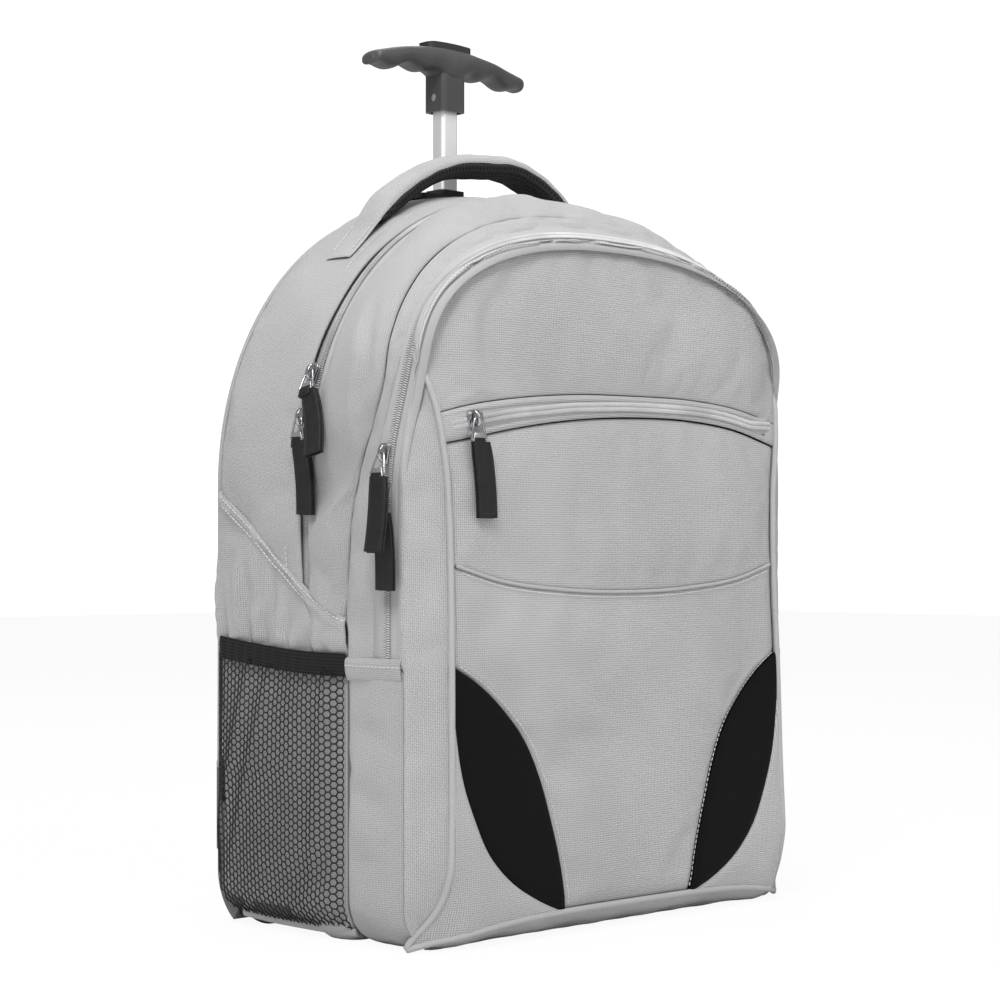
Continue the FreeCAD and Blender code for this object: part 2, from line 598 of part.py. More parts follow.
def wheel_base():
    """Both housings joined by a ribbed kick plate, and the screws that hold them to the back panel."""
    kick_x = HOUSING_IN_X + 1.5
    kick = upright_pad(-kick_x, kick_x, BACK_Y + 0.2, GUARD_Y[1] - 0.6, *KICK_Z, 6.0)
    for i in range(-2, 3):
        x, y = 45.0 * i, GUARD_Y[1]
        rib = box(x - 3, x + 3, y - 1.5, y + 1.0, KICK_Z[0] + 3, KICK_Z[1] - 4)
        kick = kick.fuse(soften(rib, 0.8))
    housing = wheel_housing()
    save("wheel_base", kick.fuse(housing).fuse(mirrored(housing)))
    screws = []
    inner_y = BACK_Y - BACK_THICK
    for x in SCREW_X:
        shank = cylinder((x, inner_y, SCREW_Z), Y_AXIS, SCREW_R, GUARD_Y[1] - inner_y)
        screw = shank.fuse(cylinder((x, GUARD_Y[1], SCREW_Z), Y_AXIS, 3.8, 1.8))
        screws += [screw, mirrored(screw)]
    save("housing_screws", *screws)


# ---- side pockets --------------------------------------------------------------------------------
def crescent(y0, y1, bulge, thickness, z0, z1):
    """Curved sheet that bows away from the bag's left side."""
    mid, foot = (y0 + y1) / 2, 3.0
    x = -ARCH_R - 0.4
    outer = Part.Arc(V(x, y0, z0), V(x - bulge, mid, z0), V(x, y1, z0)).toShape()
    inner = Part.Arc(V(x, y1 - foot, z0), V(x - bulge + thickness, mid, z0), V(x, y0 + foot, z0)).toShape()
    rear_end = Part.makeLine(V(x, y1, z0), V(x, y1 - foot, z0))
    front_end = Part.makeLine(V(x, y0 + foot, z0), V(x, y0, z0))
    face = Part.Face(Part.Wire([outer, rear_end, inner, front_end]))
    return face.extrude(V(0, 0, z1 - z0))


def side_pockets():
    """Mesh pocket with a floor, cut round the wheel's fender, and the elastic along its mouth."""
    low_z, top_z = POCKET_Z
    mesh = crescent(*POCKET_Y, POCKET_BULGE, 1.2, low_z, top_z)
    floor = crescent(*POCKET_Y, POCKET_BULGE, POCKET_BULGE - 0.1, low_z, low_z + 2)
    corner = box(-200, -160, WHEEL_Y, 100, -10, WHEEL_Z)
    corner = corner.cut(cylinder((-210, WHEEL_Y, WHEEL_Z), X_AXIS, FENDER_R[0], 100))
    save_both("mesh_pockets", mesh.fuse(floor).cut(corner))
    save_both("pocket_elastics", crescent(*POCKET_Y, POCKET_BULGE + 0.7, 2.4, top_z + 0.3, ELASTIC_TOP_Z))


# ---- zip sliders and pulls -----------------------------------------------------------------------
# A slider is built at the origin: the zip runs along Z, +X is away from the cloth and Y is across.
SLIDER_L, SLIDER_W, SLIDER_T = 12.0, 8.0, 3.0
PIVOT_OUT = 5.05  # pivot of the link, measured from the slider's sole
BRIDGE_TOP = 6.5
WIRE_R = 0.6
LINK_L, TAB_L, TAB_W, TAB_T = 11.0, 42.0, 14.0, 2.4
SOLE_GAP = 0.3


def slider(turned=False):
    """The bridge lies along the zip, or across it if turned."""
    body = soften(box(0, SLIDER_T, -SLIDER_W / 2, SLIDER_W / 2, -SLIDER_L / 2, SLIDER_L / 2), 0.9)
    bridge = box(SLIDER_T - 0.4, BRIDGE_TOP, -1.2, 1.2, -4.0, 4.0)
    bridge = bridge.cut(box(SLIDER_T, BRIDGE_TOP - 0.6, -3, 3, -2.8, 2.8))
    if turned:
        bridge.rotate(ORIGIN, X_AXIS, 90)
    return body.fuse(bridge)


def link():
    """Wire bail: a bar through the bridge and two legs to a folded clip. The pivot is at the origin."""
    bar = cylinder((0, -3.0, 0), Y_AXIS, WIRE_R, 6.0)
    for side in (-1, 1):
        start, end = V(0, 3.0 * side, 0), V(0.35, 5.6 * side, -LINK_L)
        leg = Part.makeCylinder(WIRE_R, (end - start).Length, start, end - start)
        bar = bar.fuse(leg).fuse(Part.makeSphere(WIRE_R, start)).fuse(Part.makeSphere(WIRE_R, end))
    clip = soften(box(-1.05, 2.05, -6.6, 6.6, -LINK_L - 3.5, -LINK_L + 0.8), 0.7)
    return bar.fuse(clip)


def tab():
    top = -LINK_L - 3.55
    return soften(box(0.45 - TAB_T / 2, 0.45 + TAB_T / 2, -TAB_W / 2, TAB_W / 2, top - TAB_L, top), 0.6)


def frame_matrix(origin, out, across, along):
    """Matrix whose columns are a slider's +X, +Y and +Z in the bag's frame."""
    rows = [(out.x, across.x, along.x, origin.x), (out.y, across.y, along.y, origin.y)]
    rows += [(out.z, across.z, along.z, origin.z), (0, 0, 0, 1)]
    return FreeCAD.Matrix(*[value for row in rows for value in row])


def put_slider(name, spot, out, across, along, turned=False):
    """Slider with its sole just off the zip at spot. Returns the link's pivot."""
    origin = spot + out * SOLE_GAP
    save(name, slider(turned).transformed(frame_matrix(origin, out, across, along)))
    return origin + out * PIVOT_OUT


def put_pull(where, pivot, out, across, along, lean=0.0, swing=0.0):
    """Link and tab hung from pivot. Lean swings the tab away from the cloth and swing moves it sideways."""
    for kind, shape in (("link", link()), ("tab", tab())):
        hung = shape.copy()
        hung.rotate(ORIGIN, X_AXIS, swing)
        hung.rotate(ORIGIN, Y_AXIS, -lean)
        save(f"{where}_{kind}", hung.transformed(frame_matrix(pivot, out, across, along)))


def side_sliders():
    """Two sliders on the main zip and two on the front zip, all on the -X side."""
    out, across = V(-1, 0, 0), V(0, -1, 0)
    angle = math.asin((MAIN_SLIDER_Z[0] - ARCH_Z) / ARCH_R)
    normal, tangent = V(-math.cos(angle), 0, math.sin(angle)), V(math.sin(angle), 0, math.cos(angle))
    spot = V(-ARCH_R * math.cos(angle), MAIN_ZIP_Y, MAIN_SLIDER_Z[0])
    pivot = put_slider("main_slider_upper", spot, normal, across, tangent)
    put_pull("main_upper", pivot + V(0, -0.6, 0), out, across, Z_AXIS, *MAIN_UPPER_HANG)
    pivot = put_slider("main_slider_lower", V(-ARCH_R, MAIN_ZIP_Y, MAIN_SLIDER_Z[1]), out, across, Z_AXIS)
    put_pull("main_lower", pivot, out, across, Z_AXIS, lean=LOWER_LEAN)
    for where, z, lean in zip(("upper", "lower"), FRONT_SLIDER_Z, (FRONT_UPPER_LEAN, LOWER_LEAN)):
        spot = V(-front_zip_half_width(), FRONT_SLIDER_Y, z)
        pivot = put_slider(f"front_slider_{where}", spot, out, across, Z_AXIS)
        put_pull(f"front_{where}", pivot, out, across, Z_AXIS, lean=lean)


def front_zip_half_width():
    """Half width of the bag where the front zip runs straight up its side."""
    (y0, w0), (y1, w1) = [(s[0], s[1]) for s in STATIONS[-2:]]
    return w0 + (w1 - w0) * (FRONT_SLIDER_Y - y0) / (y1 - y0)


def pocket_slider():
    """Slider parked at the left end of the pocket zip's arc."""
    out = V(0, -math.cos(FRONT_TILT), math.sin(FRONT_TILT))
    up = V(0, math.sin(FRONT_TILT), math.cos(FRONT_TILT))
    angle = math.asin(POCKET_SLIDER_X / POCKET_ARC_R)
    along = V(math.cos(angle), 0, 0) - up * math.sin(angle)
    flat_spot = V(POCKET_SLIDER_X, FRONT_Y, POCKET_ARC_TOP_Z - POCKET_ARC_R * (1 - math.cos(angle)))
    spot = on_front(Part.Vertex(flat_spot)).Point
    pivot = put_slider("pocket_slider", spot, out, along.cross(out), along, turned=True)
    put_pull("pocket", pivot, out, up.cross(out), up)


# ---- handle and straps ---------------------------------------------------------------------------
def handle_section(t):
    """Rounded section of the carry handle, at t from -1 to 1 along its arch."""
    end = math.radians(80)
    angle = t * end
    x = HANDLE_HALF * math.sin(angle) / math.sin(end)
    rise = (math.cos(angle) - math.cos(end)) / (1 - math.cos(end))
    z = HANDLE_Z + (HANDLE_TOP_Z - HANDLE_Z) * rise
    tangent = V(math.cos(angle), 0, -math.sin(angle) * 0.62).normalize()
    normal = V(-tangent.z, 0, tangent.x)
    ease = math.sin(min(1.0, (1 - abs(t)) / 0.22) * math.pi / 2)
    half_w = 4.5 + (HANDLE_W / 2 - 4.5) * ease
    half_t = 2.6 + (HANDLE_T / 2 - 2.6) * ease
    points = []
    for k in range(12):
        turn = 2 * math.pi * k / 12
        side = half_w * math.copysign(abs(math.cos(turn)) ** 0.75, math.cos(turn))
        points.append(V(x, HANDLE_Y + side, z) + normal * (half_t * math.sin(turn)))
    curve = Part.BSplineCurve()
    curve.interpolate(Points=points, PeriodicFlag=True)
    return Part.Wire(curve.toShape())


def carry_handle():
    """Padded arch over the top seam, narrow where it's sewn down."""
    steps = 14
    sections = [handle_section(-1.0 + 2.0 * i / steps) for i in range(steps + 1)]
    save("carry_handle", Part.makeLoft(sections, True, False))


def straps():
    """Shoulder straps, the ladder locks under them and the webbing down to the base."""
    save_both("shoulder_straps", smooth_xz(STRAP_OUTLINE, *STRAP_Y))
    buckle = upright_pad(*LOCK_X, *LOCK_Y, *LOCK_Z, 3.0)
    for z in LOCK_SLOT_Z:
        buckle = buckle.cut(box(LOCK_X[0] + 4, LOCK_X[1] - 4, 90, 110, z, z + LOCK_SLOT_H))
    save_both("ladder_locks", buckle)
    back_of_webbing = LOCK_Y[0] - 0.2
    top = V(WEBBING_TOP[0], back_of_webbing, WEBBING_TOP[1])
    low = V(WEBBING_LOW[0], back_of_webbing, WEBBING_LOW[1])
    side = V((top - low).z, 0, (low - top).x).normalize() * WEBBING_W / 2
    corners = [top + side, low + side, low - side, top - side]
    band = Part.Face(Part.makePolygon(corners + [corners[0]])).extrude(V(0, -WEBBING_T, 0))
    save_both("strap_webbings", band)


bag()
front_panels()
piping()
inside()
pads()
telescope()
lock()
grip()
button()
wheels()
wheel_base()
side_pockets()
side_sliders()
pocket_slider()
carry_handle()
straps()
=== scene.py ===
import json
import math

import bmesh
import bpy
import numpy as np
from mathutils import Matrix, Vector


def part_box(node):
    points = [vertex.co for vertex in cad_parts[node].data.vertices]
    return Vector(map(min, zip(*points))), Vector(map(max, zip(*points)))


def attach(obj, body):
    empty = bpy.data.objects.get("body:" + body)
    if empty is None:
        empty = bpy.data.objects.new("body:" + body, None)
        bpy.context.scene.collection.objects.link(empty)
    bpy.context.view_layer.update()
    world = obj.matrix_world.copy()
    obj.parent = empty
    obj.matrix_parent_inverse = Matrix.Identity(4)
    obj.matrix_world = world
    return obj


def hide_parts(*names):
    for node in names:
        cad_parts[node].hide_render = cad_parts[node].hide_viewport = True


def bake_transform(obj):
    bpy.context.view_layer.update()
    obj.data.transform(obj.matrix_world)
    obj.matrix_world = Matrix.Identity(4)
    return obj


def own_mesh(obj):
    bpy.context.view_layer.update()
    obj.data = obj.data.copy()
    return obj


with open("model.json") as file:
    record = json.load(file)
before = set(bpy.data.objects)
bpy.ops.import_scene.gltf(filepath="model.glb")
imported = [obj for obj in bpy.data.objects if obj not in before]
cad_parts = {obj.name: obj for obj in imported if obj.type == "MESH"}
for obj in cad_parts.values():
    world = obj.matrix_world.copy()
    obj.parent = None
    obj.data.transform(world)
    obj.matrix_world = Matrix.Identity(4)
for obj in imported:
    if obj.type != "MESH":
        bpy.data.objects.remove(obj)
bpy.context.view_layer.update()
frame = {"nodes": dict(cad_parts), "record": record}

MM = 0.001  # shapes are worked out in millimetres and written to meshes in metres
RNG = np.random.default_rng(7)


def cad_box(node):
    """Lowest and highest corner of a CAD node in millimetres."""
    low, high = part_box(node)
    return np.array(low) / MM, np.array(high) / MM


# ---- the bag's main shape, from the frame ---------------------------------------------------------------------------
BACK_LOW, BACK_HIGH = cad_box("back_panel")
BACK_Y = BACK_HIGH[1]
FLAP_Y = cad_box("rear_gusset")[0][1]
MAIN_ZIP_Y = cad_box("main_zip")[0][1] + 4.5
FRONT_LOW = cad_box("lower_front_panel")[0]
FRONT_FOOT_Y = FRONT_LOW[1]
FRONT_TOP = cad_box("upper_front_panel")[1][2]
LEAN = math.tan(math.radians(1.9))
POCKET_TOP = cad_box("pocket_elastics")[1][2]
HALF_W = BACK_HIGH[0]
HANDLE_Y = 31.4

# y, half width, spring height, top height, bottom height
STATIONS = np.array([
    (-92.0, 163.5, 326.0, 407.0, 0.0),
    (-66.0, 165.5, 308.0, 429.0, 0.0),
    (-36.0, 167.0, 289.0, 441.0, 0.0),
    (-9.0, 168.0, 278.0, 446.0, 0.0),
    (6.0, 168.0, 277.0, 447.0, 0.5),
    (60.0, 168.0, 267.0, 451.0, 3.0),
    (BACK_Y, 167.0, 264.0, 450.0, 4.0),
])  # fmt: skip
CORNER_R = 24.0
FOLD_Y = -84.0  # the soft vertical corner between side and front
SEAM_Z = 163.0  # cross seam where the front zip ends


def hermite(x, xs, ys):
    """Smooth curve through (xs, ys), flat beyond the ends."""
    xs, ys = np.asarray(xs, float), np.asarray(ys, float)
    slopes = np.gradient(ys, xs)
    x = np.clip(x, xs[0], xs[-1])
    k = np.clip(np.searchsorted(xs, x) - 1, 0, len(xs) - 2)
    h = xs[k + 1] - xs[k]
    t = (x - xs[k]) / h
    a = (1 + 2 * t) * (1 - t) ** 2
    b = t * (1 - t) ** 2
    c = t * t * (3 - 2 * t)
    d = t * t * (t - 1)
    return a * ys[k] + b * h * slopes[k] + c * ys[k + 1] + d * h * slopes[k + 1]


def smoothstep(x, low, high):
    t = np.clip((x - low) / (high - low), 0, 1)
    return t * t * (3 - 2 * t)


def ripple(u, v, scale, seed, waves=9):
    """Soft random field between about -1 and 1 over surface lengths u and v."""
    rng = np.random.default_rng(seed)
    total = np.zeros(np.broadcast(u, v).shape)
    for _ in range(waves):
        angle = rng.uniform(0, math.pi)
        k = 2 * math.pi / (scale * rng.uniform(0.6, 1.7))
        total += np.sin(k * (u * math.cos(angle) + v * math.sin(angle)) + rng.uniform(0, 6.28))
    return total / waves * 1.8


# ---- a closed ring round the bag --------------------------------------------------------------------------------------
class Ring:
    """Stations round the bag from the bottom centre, up the -X side, over the arch and down the +X side."""

    def __init__(self, bottom=12, corner=8, side=64, arch=60):
        kinds, shares = [], []
        for kind, count in enumerate((bottom, corner, side, arch)):
            kinds += [kind] * count
            shares += [i / count for i in range(count)]
        kinds, shares = np.array(kinds + [3]), np.array(shares + [1.0])
        self.kind = np.concatenate([kinds, kinds[-2:0:-1]])
        self.share = np.concatenate([shares, shares[-2:0:-1]])
        self.sign = np.concatenate([-np.ones(len(kinds)), np.ones(len(kinds) - 2)])
        self.height = self.at(np.full(len(self.kind), -10.0))[:, 2]

    def at(self, y):
        """Points of the bag's skin at depth y, one value or one row of values per ring station."""
        y = np.asarray(y, float)
        extra = (slice(None),) + (None,) * (y.ndim - 1)
        kind, s, sign = self.kind[extra], self.share[extra], self.sign[extra]
        w, spring, top, low = [hermite(y, STATIONS[:, 0], STATIONS[:, k]) for k in range(1, 5)]
        turn = np.clip(s * math.pi / 2, 0, math.pi / 2 - 1e-9)
        x = np.where(kind == 0, (w - CORNER_R) * s, w)
        x = np.where(kind == 1, w - CORNER_R + CORNER_R * np.sin(turn), x)
        fullness = 1.0 - 0.16 * smoothstep(-y, 5, 60)
        x = np.where(kind == 3, w * np.cos(turn) ** fullness, x)
        z = np.where(kind == 0, low, low + CORNER_R * (1 - np.cos(turn)))
        z = np.where(kind == 2, low + CORNER_R + (spring - low - CORNER_R) * s, z)
        z = np.where(kind == 3, spring + (top - spring) * np.sin(turn) ** fullness, z)
        x = x * (1 - 0.045 * smoothstep(z, 262, 330) * smoothstep(-y, 62, 88))
        return np.stack([sign * x, y + 0 * x, z], -1)


RING = Ring()


def along_ring(depth):
    """Depth and height at every ring station of a line on the bag given as depth(height)."""
    z = RING.height
    for _ in range(6):
        y = depth(z)
        z = RING.at(y)[:, 2]
    return y, z


def main_seam_y(z):
    """Seam between the main and the front compartment."""
    return hermite(z, [0, 200, 219, 242, 265, 296, 316, 345, 460], [-36, -36, -38, -40, -46, -58, -66, -68, -68])


def front_zip_y(z):
    return hermite(z, [0, 165, 250, 285, 315, 345, 375, 460], [-71, -71, -71.8, -74, -78.5, -83, -85, -85])


def flap_edge_y(z):
    return FLAP_Y - 3.5 + 1.0 * np.sin(z / 38.0)


def diagonal_z(y):
    """Top seam of the lower side panel."""
    return hermite(y, [-40, -36, -10, 20, 50, 75, BACK_Y], [186, 187, 199, 220, 243, 258, 263])


# ---- the front face ---------------------------------------------------------------------------------------------------
def edge_half(z):
    """Half width of the front panel at height z, up to the spring of its arch."""
    heights = [2, 14, 27, 43, 70, 160, 245, 268, 285, 305, 321, 335]
    return hermite(z, heights, [161.5, 153, 148.2, 146.2, 145, 143, 142.2, 143.5, 146, 149.2, 152.8, 156.5])


ARCH_SPRING, ARCH_HALF, ARCH_FULLNESS = 332.0, 156.0, 0.86


def front_y(x, z):
    """Depth of the front face: a leaning plane with a low crown and corners that fall back at the bottom."""
    x, z = np.asarray(x, float), np.asarray(z, float)
    across = np.clip(1 - (x / 165.0) ** 2, 0, 1)
    up = np.clip(np.sin(np.clip(z / FRONT_TOP, 0, 1) * math.pi), 0, 1)
    crown = 4.5 * across**0.7 * up**0.6
    corner = smoothstep(np.abs(x), 128, 166) * (1 - smoothstep(z, 6, 52))
    toe = 3.0 * (1 - smoothstep(z, 0, 26))
    wander = 0.7 * ripple(x, z, 150.0, 3)
    shoulder = 6.5 * smoothstep(np.abs(x), 118, 158) * smoothstep(z, 290, 345)
    return FRONT_FOOT_Y + 1.0 + LEAN * z - crown - wander + 19.0 * corner + toe + shoulder


def bottom_seam_z(x):
    return 0.8 + 12.7 * np.clip(1 - (np.abs(x) / 161.5) ** 4, 0, 1)


def panel_outline(ring):
    """Point of the front panel's edge that belongs to each ring station."""
    s, sign, kind = ring.share, ring.sign, ring.kind
    turn = s * math.pi / 2
    z_side = 34.0 + (ARCH_SPRING - 34.0) * s
    corner_z = 0.8 + 33.2 * s
    x = np.where(kind == 0, 161.5 * s, edge_half(corner_z))
    x = np.where(kind == 2, edge_half(z_side), x)
    turn = np.clip(turn, 0, math.pi / 2 - 1e-9)
    x = np.where(kind == 3, ARCH_HALF * np.cos(turn) ** ARCH_FULLNESS, x)
    z = np.where(kind == 0, bottom_seam_z(x), corner_z)
    z = np.where(kind == 2, z_side, z)
    z = np.where(kind == 3, ARCH_SPRING + (FRONT_TOP - ARCH_SPRING) * np.sin(turn) ** ARCH_FULLNESS, z)
    return np.stack([sign * x, front_y(sign * x, z), z], -1)


# ---- mesh helpers -----------------------------------------------------------------------------------------------------
def new_mesh(name, points, faces, uv=None, smooth=True, closed=True, wrap=0.0):
    """Object from points in millimetres. uv holds one pair of millimetres per point; a ring of quads wraps its u."""
    mesh = bpy.data.meshes.new(name)
    mesh.from_pydata((np.asarray(points) * MM).tolist(), [], [list(map(int, f)) for f in faces])
    if uv is not None:
        layer = mesh.uv_layers.new(name="cloth")
        loop_vertex = np.zeros(len(mesh.loops), int)
        mesh.loops.foreach_get("vertex_index", loop_vertex)
        pairs = np.asarray(uv)[loop_vertex]
        if wrap:
            u = pairs[:, 0].reshape(-1, 4)
            pairs[:, 0] += (wrap * (u.max(1, keepdims=True) - u > wrap / 2)).ravel()
        layer.data.foreach_set("uv", (pairs * MM).astype(np.float32).ravel())
    mesh.polygons.foreach_set("use_smooth", np.full(len(mesh.polygons), smooth))
    if closed:
        shape = bmesh.new()
        shape.from_mesh(mesh)
        bmesh.ops.recalc_face_normals(shape, faces=shape.faces)
        shape.to_mesh(mesh)
        shape.free()
    mesh.update()
    piece = bpy.data.objects.new(name, mesh)
    bpy.context.scene.collection.objects.link(piece)
    return piece


def grid_faces(rows, cols, close_rows=False, flip=False):
    i, j = np.meshgrid(np.arange(rows if close_rows else rows - 1), np.arange(cols - 1), indexing="ij")
    a = i * cols + j
    b = ((i + 1) % rows) * cols + j
    quads = np.stack([a, b, b + 1, a + 1], -1).reshape(-1, 4)
    return quads[:, ::-1] if flip else quads


def grid_normals(points, close_rows=False):
    """Unit normals of a grid of points, rows by columns."""
    if close_rows:
        du = np.roll(points, -1, 0) - np.roll(points, 1, 0)
    else:
        du = np.gradient(points, axis=0)
    normal = np.cross(du, np.gradient(points, axis=1))
    return normal / np.maximum(np.linalg.norm(normal, axis=-1, keepdims=True), 1e-9)


def grid_uv(points, close_rows=False):
    """Cloth lengths along both directions of a grid."""
    step = np.linalg.norm(np.diff(points, axis=0), axis=-1).mean(1)
    u = np.concatenate([[0], np.cumsum(step)])
    v = np.linalg.norm(np.diff(points, axis=1), axis=-1)
    v = np.concatenate([np.zeros((len(points), 1)), np.cumsum(v, 1)], 1)
    return np.stack([np.broadcast_to(u[:, None], v.shape), v], -1)


def sheet(name, points, close_rows=False, flip=False, thickness=1.6, uv=None):
    """Cloth from a grid of points, with real thickness behind it and one level of subdivision."""
    rows, cols = points.shape[:2]
    uv = grid_uv(points, close_rows) if uv is None else uv
    faces = grid_faces(rows, cols, close_rows, flip)
    wrap = uv[..., 0].max() + np.linalg.norm(points[0] - points[-1], axis=-1).mean() if close_rows else 0.0
    piece = new_mesh(name, points.reshape(-1, 3), faces, uv.reshape(-1, 2), closed=False, wrap=wrap)
    if thickness:
        solid = piece.modifiers.new("thick", "SOLIDIFY")
        solid.thickness = thickness * MM
        solid.offset = -1
    subdivide(piece)
    return piece


def subdivide(piece, levels=1):
    smooth = piece.modifiers.new("smooth", "SUBSURF")
    smooth.levels = smooth.render_levels = levels
    return piece


def frames_along(path, normal):
    """Tangent, normal and side vectors at each point of a path."""
    tangent = np.gradient(path, axis=0)
    tangent /= np.maximum(np.linalg.norm(tangent, axis=1, keepdims=True), 1e-9)
    normal = normal - (normal * tangent).sum(1, keepdims=True) * tangent
    normal /= np.maximum(np.linalg.norm(normal, axis=1, keepdims=True), 1e-9)
    return tangent, normal, np.cross(tangent, normal)


def resample(path, step, *others):
    """Points at equal steps along a path, with other rows of values carried along."""
    length = np.concatenate([[0], np.cumsum(np.linalg.norm(np.diff(path, axis=0), axis=1))])
    count = max(2, int(round(length[-1] / step)) + 1)
    where = np.linspace(0, length[-1], count)
    out = [np.stack([np.interp(where, length, a[:, k]) for k in range(3)], 1) for a in (path, *others)]
    return out if others else out[0]


def sweep(name, path, normal, section, closed=False):
    """Solid swept along a path. section is a closed outline of (side, out) pairs."""
    _, out, side = frames_along(path, normal)
    section = np.asarray(section, float)
    ring = path[:, None] + side[:, None] * section[None, :, :1] + out[:, None] * section[None, :, 1:]
    count = len(section)
    i, j = np.meshgrid(np.arange(len(path) if closed else len(path) - 1), np.arange(count), indexing="ij")
    after = (i + 1) % len(path)
    faces = np.stack([i * count + j, i * count + (j + 1) % count, after * count + (j + 1) % count, after * count + j], -1)
    faces = faces.reshape(-1, 4).tolist()
    if not closed:
        faces.append(list(range(count))[::-1])
        faces.append([(len(path) - 1) * count + k for k in range(count)])
    length = np.concatenate([[0], np.cumsum(np.linalg.norm(np.diff(path, axis=0), axis=1))])
    turn = np.concatenate([[0], np.cumsum(np.linalg.norm(np.diff(section, axis=0), axis=1))])
    uv = np.stack(np.broadcast_arrays(length[:, None], turn[None]), -1)
    return new_mesh(name, ring.reshape(-1, 3), faces, uv.reshape(-1, 2))


def round_section(radius_side, radius_out=None, count=8, power=1.0):
    radius_out = radius_side if radius_out is None else radius_out
    angles = np.linspace(0, 2 * math.pi, count, endpoint=False)
    c, s = np.cos(angles), np.sin(angles)
    return np.stack([
        radius_side * np.sign(c) * np.abs(c) ** power,
        radius_out * np.sign(s) * np.abs(s) ** power,
    ], 1)  # fmt: skip


def capsule(length, width, height, sides=6):
    """Small rounded bar along the first axis, as points and faces."""
    rings = [(-0.5, 0.45), (-0.3, 1.0), (0.3, 1.0), (0.5, 0.45)]
    points = []
    for along, swell in rings:
        for k in range(sides):
            angle = 2 * math.pi * k / sides
            points.append((along * length, swell * width / 2 * math.cos(angle), swell * height / 2 * math.sin(angle)))
    faces = [[k for k in range(sides)][::-1], [3 * sides + k for k in range(sides)]]
    for r in range(3):
        for k in range(sides):
            n = (k + 1) % sides
            faces.append([r * sides + k, r * sides + n, (r + 1) * sides + n, (r + 1) * sides + k])
    return np.array(points), faces


def scatter(name, template, origins, tangent, side, out):
    """One mesh that repeats a template at each origin, turned to the local directions."""
    points, faces = template
    placed = origins[:, None] + tangent[:, None] * points[None, :, :1]
    placed = placed + side[:, None] * points[None, :, 1:2] + out[:, None] * points[None, :, 2:]
    count = len(points)
    shifted = [[v + k * count for v in face] for k in range(len(origins)) for face in faces]
    return new_mesh(name, placed.reshape(-1, 3), shifted)


def stitches(name, path, normal, body="bag", pitch=3.3, length=2.4, width=0.6, lift=0.15):
    """A row of thread stitches along a path that lies on cloth."""
    path, normal = resample(path, pitch, normal)
    tangent, out, side = frames_along(path, normal)
    thread = scatter(name, capsule(length, width, 0.5), path + out * lift, tangent, side, out)
    finish(thread, "thread_grey", body)
    return thread


# ---- materials --------------------------------------------------------------------------------------------------------
MATERIALS = {}


class Nodes:
    """Short hand for building a node tree."""

    def __init__(self, name):
        self.material = bpy.data.materials.new(name)
        self.material.use_nodes = True
        self.tree = self.material.node_tree
        self.shader = self.tree.nodes["Principled BSDF"]
        MATERIALS[name] = self.material

    def add(self, kind, **settings):
        node = self.tree.nodes.new(kind)
        for key, value in settings.items():
            if key.startswith("in_"):
                name = key[3:]
                node.inputs[int(name) if name.isdigit() else name].default_value = value
            else:
                setattr(node, key, value)
        return node

    def link(self, source, target):
        self.tree.links.new(source, target)

    def math(self, operation, a, b=None, c=None):
        node = self.add("ShaderNodeMath", operation=operation)
        for k, value in enumerate((a, b, c)):
            if value is None:
                continue
            if isinstance(value, (int, float)):
                node.inputs[k].default_value = value
            else:
                self.link(value, node.inputs[k])
        return node.outputs[0]

    def noise(self, vector, scale, detail=3.0, rough=0.55):
        node = self.add("ShaderNodeTexNoise", in_Scale=scale, in_Detail=detail, in_Roughness=rough)
        self.link(vector, node.inputs["Vector"])
        return node.outputs["Fac"]

    def ramp(self, fac, stops):
        node = self.add("ShaderNodeValToRGB")
        while len(node.color_ramp.elements) < len(stops):
            node.color_ramp.elements.new(0.5)
        for element, (place, grey) in zip(node.color_ramp.elements, stops):
            element.position = place
            element.color = (*grey, 1) if isinstance(grey, tuple) else (grey, grey, grey, 1)
        self.link(fac, node.inputs["Fac"])
        return node.outputs["Color"]

    def bump(self, height, strength, distance, previous=None):
        node = self.add("ShaderNodeBump", in_Strength=strength, in_Distance=distance)
        self.link(height, node.inputs["Height"])
        if previous is not None:
            self.link(previous, node.inputs["Normal"])
        return node.outputs["Normal"]

    def put(self, socket, value):
        if isinstance(value, (int, float, tuple)):
            self.shader.inputs[socket].default_value = value
        else:
            self.link(value, self.shader.inputs[socket])

    def uv(self):
        return self.add("ShaderNodeUVMap", uv_map="cloth").outputs["UV"]

    def place(self):
        return self.add("ShaderNodeTexCoord").outputs["Object"]


def weave_height(n, vector, thread):
    """Plain weave: two crossing sets of rounded threads, one over the other in turn. thread is their spacing in metres."""
    parts = n.add("ShaderNodeSeparateXYZ")
    n.link(vector, parts.inputs[0])
    u = n.math("MULTIPLY", parts.outputs[0], math.pi / thread)
    v = n.math("MULTIPLY", parts.outputs[1], math.pi / thread)
    su, sv = n.math("SINE", u), n.math("SINE", v)
    over = n.math("MULTIPLY", n.math("COSINE", u), n.math("COSINE", v))
    warp = n.math("MULTIPLY", n.math("ABSOLUTE", su), n.math("ADD", n.math("MULTIPLY", over, 0.5), 0.5))
    weft = n.math("MULTIPLY", n.math("ABSOLUTE", sv), n.math("SUBTRACT", 0.5, n.math("MULTIPLY", over, 0.5)))
    return n.math("MAXIMUM", warp, weft)


